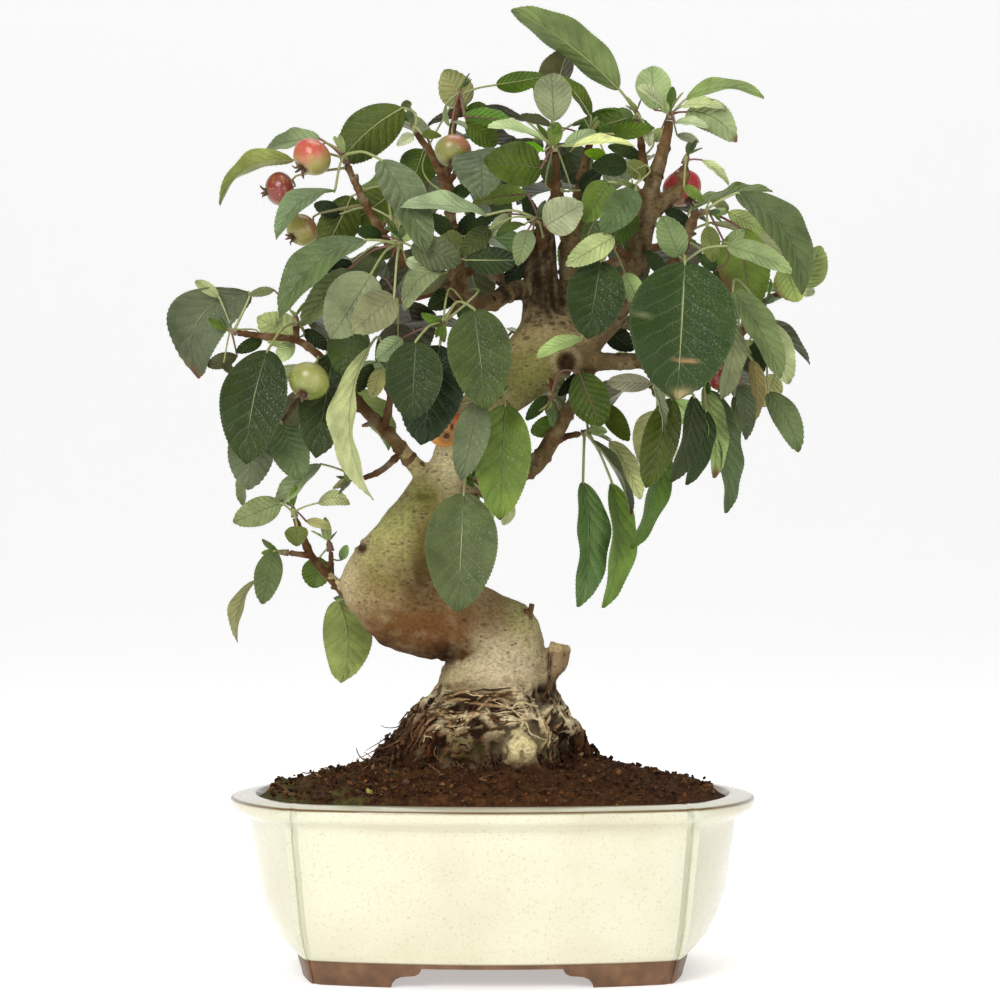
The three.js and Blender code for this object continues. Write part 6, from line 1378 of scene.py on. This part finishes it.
# Short young leaves half hidden inside the crown: spray, foot, tip, width and depth. They are painted in dark tones, as
# painted shade inside the crown.
INNER = [
    ("left_twig_mid", 340, 214, 314, 204, 16, -14), ("left_knot", 382, 236, 356, 230, 14, -34),
    ("left_knot", 392, 256, 366, 250, 12, -38), ("left_knot", 352, 262, 326, 272, 12, -40),
    ("top_bud", 452, 198, 474, 184, 14, 0), ("left_inner", 452, 236, 430, 214, 16, -10),
    ("left_inner", 458, 240, 474, 212, 15, -6), ("left_inner", 466, 236, 496, 214, 13, -8),
    ("top_centre", 556, 186, 540, 160, 15, 4), ("top_centre", 580, 190, 602, 168, 16, 2),
    ("centre_front", 536, 226, 524, 194, 14, -8), ("top_right_twig", 642, 158, 608, 146, 13, 6),
    ("right_spur", 690, 226, 664, 208, 14, -10), ("right_hang", 664, 274, 646, 250, 14, -20),
    ("right_spur", 716, 270, 698, 254, 12, -10), ("centre_front", 530, 252, 506, 284, 22, 6),
    ("front_left", 456, 292, 428, 308, 20, -14), ("front_left", 462, 300, 466, 326, 14, -26),
    ("burl_under", 606, 330, 634, 350, 22, 10), ("right_low_end", 750, 340, 764, 372, 12, -2),
    ("left_low_fork", 372, 364, 358, 392, 14, -20), ("left_low_side", 304, 330, 330, 350, 14, -8),
    ("left_low_end", 262, 340, 236, 352, 13, -8), ("burl_under", 548, 396, 526, 420, 13, -4),
    ("low_right_spur", 584, 372, 558, 396, 13, 4), ("left_low_mid", 350, 344, 332, 330, 12, -10),
    ("right_low_inner", 716, 268, 726, 292, 14, 8),
]
# Sprays of leaves; the inner leaves take the dark tones a, c and d as painted shade inside the crown.
for name, group in SPRAYS.items():
    place, radius, way = end_of(LIMBS[LIMB_OF[name]] if name in LIMB_OF else TWIGS[name])
    spray(name, place, radius, way, group["way"], [laid(name, i, row) for i, row in enumerate(group["leaves"])]
          + [laid(name, 99, (u0, v0, u1, v1, wide, depth, depth - 2, 1, "acd"[k % 3]))
             for k, (to, u0, v0, u1, v1, wide, depth) in enumerate(INNER) if to == name])
for name, group in WHORLS.items():
    place, radius, way = end_of(LIMBS[group["limb"]] if "limb" in group else TWIGS[name])
    draw = random.Random(name)
    spray(name, place, radius, way, group["way"],
          [whorled(i, group["turn"], draw.choice("gngqB")) for i in range(group["count"])])
for _, (pattern, *_) in PATTERNS:
    bpy.data.objects.remove(pattern)

# ---------------------------------------------------------------- fruit
# Crab apples 11 to 16 mm across, dimpled at the stalk, with the dried five-pointed calyx at the other
# end. Green ones blush yellow, orange and red on the side that gets the sun, with fine pale dots.
FRUITS = {
    "top_left": {"middle": [312, 157, -22], "size": 15.5, "calyx": [-0.5, -0.3, -0.6],
        "stalk": [[327, 143, -23], [343, 152, -20]]},
    "top_left_low": {"middle": [280, 189, -8], "size": 13.5, "calyx": [-0.9, -0.2, -0.2],
        "stalk": [[296, 176, -9], [344, 168, -17]]},
    "upper": {"middle": [453, 151, -13], "size": 14.3, "calyx": [0, -0.5, -0.8],
        "stalk": [[452, 132, -8], [454, 122, 7]]},
    "left": {"middle": [302, 230, -38], "size": 13, "calyx": [-0.6, -0.4, -0.5],
        "stalk": [[318, 214, -37], [361, 205, -24]]},
    "right": {"middle": [682, 188, 8], "size": 16, "calyx": [0.4, -0.4, -0.7],
        "stalk": [[683, 166, 2], [684, 165, -12]]},
    "low_left": {"middle": [309, 381, -44], "size": 15.9, "calyx": [-0.3, -0.5, -0.7],
        "stalk": [[318, 357, -41], [321, 359, -17]]},
    "by_trunk": {"middle": [445, 428, -19], "size": 15.5, "calyx": [0.1, -0.8, -0.5],
        "stalk": [[452, 408, -17], [492, 395, -10]]},
    "low_right": {"middle": [722, 378, -20], "size": 11.4, "calyx": [0, -0.4, -0.9],
        "stalk": [[722, 362, -18], [722, 349, -9]]},
}
SKINS = {  # ground colour, colour of the blush, where the blush faces and how far it reaches
    "top_left": ((160, 150, 86), (184, 84, 66), (-0.3, -0.5, 1), 0.6),
    "top_left_low": ((140, 112, 70), (128, 52, 42), (-0.2, -0.9, 0.6), 0.8),
    "upper": ((132, 134, 70), (160, 104, 74), (0.5, -0.4, 0.8), 0.2),
    "left": ((148, 142, 70), (134, 100, 58), (0.6, -0.3, 0.3), 0.3),
    "right": ((150, 116, 70), (176, 46, 52), (0.4, -0.6, 0.8), 0.9),
    "low_left": ((112, 124, 52), (150, 150, 84), (0.4, -0.6, 0.8), 0.5),
    "by_trunk": ((216, 140, 66), (206, 92, 60), (0.9, 0.1, 0.7), 0.3),
    "low_right": ((130, 66, 50), (128, 36, 38), (0, -1, 0.3), 0.9),
}
bpy.ops.mesh.primitive_uv_sphere_add(segments=32, ring_count=24, radius=1)
apple = bpy.context.object
co = points_of(apple).astype(float)
far = np.hypot(co[:, 0], co[:, 1])
swell = 1 + 0.05 * cap(1 - np.abs(co[:, 2] - 0.15))
co[:, :2] *= swell[:, None]
dimple, eye = 0.34 * np.exp(-(far / 0.3) ** 2), 0.16 * np.exp(-(far / 0.24) ** 2)  # at the stalk, at the calyx
co[:, 2] = co[:, 2] * 0.9 - (co[:, 2] > 0) * dimple + (co[:, 2] < 0) * eye
apple.data.vertices.foreach_set("co", co.ravel().astype(np.float32))
bpy.ops.object.shade_smooth()
peel = Shader("apple_skin", 0.3, Coat_Weight=0.15, Coat_Roughness=0.2)
cloud = peel.noise(260.0, 4.0)
skin = peel.mix(peel.ramp(peel.cells(620.0), (0.1, 0.5), (0.2, 0.0)), peel.painted(), linear(226, 208, 150))
skin = peel.mix(peel.ramp(cloud, (0.55, 0.0), (0.75, 0.3)), skin, linear(196, 176, 104))
apple_skin = peel.finish(skin, cloud, 0.0004, 0.2)
for name, row in FRUITS.items():
    draw = random.Random(name)
    centre, r = mm(*row["middle"]), row["size"] / 2
    up = -Vector(row["calyx"]).normalized()
    turned = up.to_track_quat("Z", "Y").to_matrix().to_4x4()
    place = Matrix.Translation(Vector(centre) / 1000) @ turned @ Matrix.Scale(r / 1000, 4)
    body = apple.copy()
    body.data = apple.data.copy()
    bpy.context.scene.collection.objects.link(body)
    body.data.transform(place)
    ground, blush, facing, share = SKINS[name]
    out = np.array([v.normal[:] for v in body.data.vertices])
    rough = stir(points_of(body), 260)
    blushed = cap((out @ unit(np.array(facing)) + share - 0.45 + 0.35 * rough) * 1.6)[:, None]
    tone = np.array(linear(*ground)) * (1 - blushed) + np.array(linear(*blush)) * blushed
    dull = np.exp(-(np.linalg.norm(out + np.array(up), axis=1) / 0.35) ** 2)[:, None]
    tone = tone * (1 - 0.7 * dull) + np.array(linear(104, 84, 52)) * 0.7 * dull
    if name == "by_trunk":
        spot = np.exp(-np.hypot((out[:, 0] - 0.35) / 0.1, (out[:, 2] + 0.05) / 0.3) ** 4)[:, None] * (out[:, 1:2] < 0)
        tone = tone * (1 - spot) + np.array(linear(48, 24, 22)) * spot
    paint(body, "tone", tone)
    body.data.materials.append(apple_skin)
    route = [(place @ Vector((0, 0, 0.55)), 0.0005), (place @ Vector((0, 0, 0.95)), 0.00046)]
    route += [(at(*stop), 0.00042 + 0.0002 * k) for k, stop in enumerate(row["stalk"])]
    runs = [smooth_run(route, 1.5)]
    wide = 0.35 if name == "by_trunk" else 1
    for k in range(5):
        turn = Matrix.Rotation(2 * math.pi * k / 5 + draw.uniform(-0.2, 0.2), 4, "Z")
        sepal = [(0.1, -0.76, 0.09), (0.2, -0.98, 0.085), (0.3 + draw.uniform(-0.08, 0.1), -1.1, 0.06),
                 (0.42 + draw.uniform(-0.14, 0.1), -1.13, 0.015)]
        runs.append([(place @ turn @ Vector((x * wide, 0, z * (0.75 + 0.25 * wide))), fat * r / 1000)
                     for x, z, fat in sepal])
    trim = sweep("stalk_and_calyx", runs, 6)
    far = np.array([(v.co - place.translation).dot(up) for v in trim.data.vertices])
    brown = cap(0.5 - far / (r / 1000))[:, None]
    paint(trim, "tone", np.array(linear(142, 136, 84)) * (1 - brown) + np.array(linear(88, 62, 42)) * brown)
    trim.data.materials.append(stalk_skin)
    bpy.ops.object.shade_smooth()
    whole = join(body, trim)
    whole.name = whole.data.name = "apple_" + name
    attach(whole, "root")
    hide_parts("fruit_" + name)
bpy.data.objects.remove(apple)
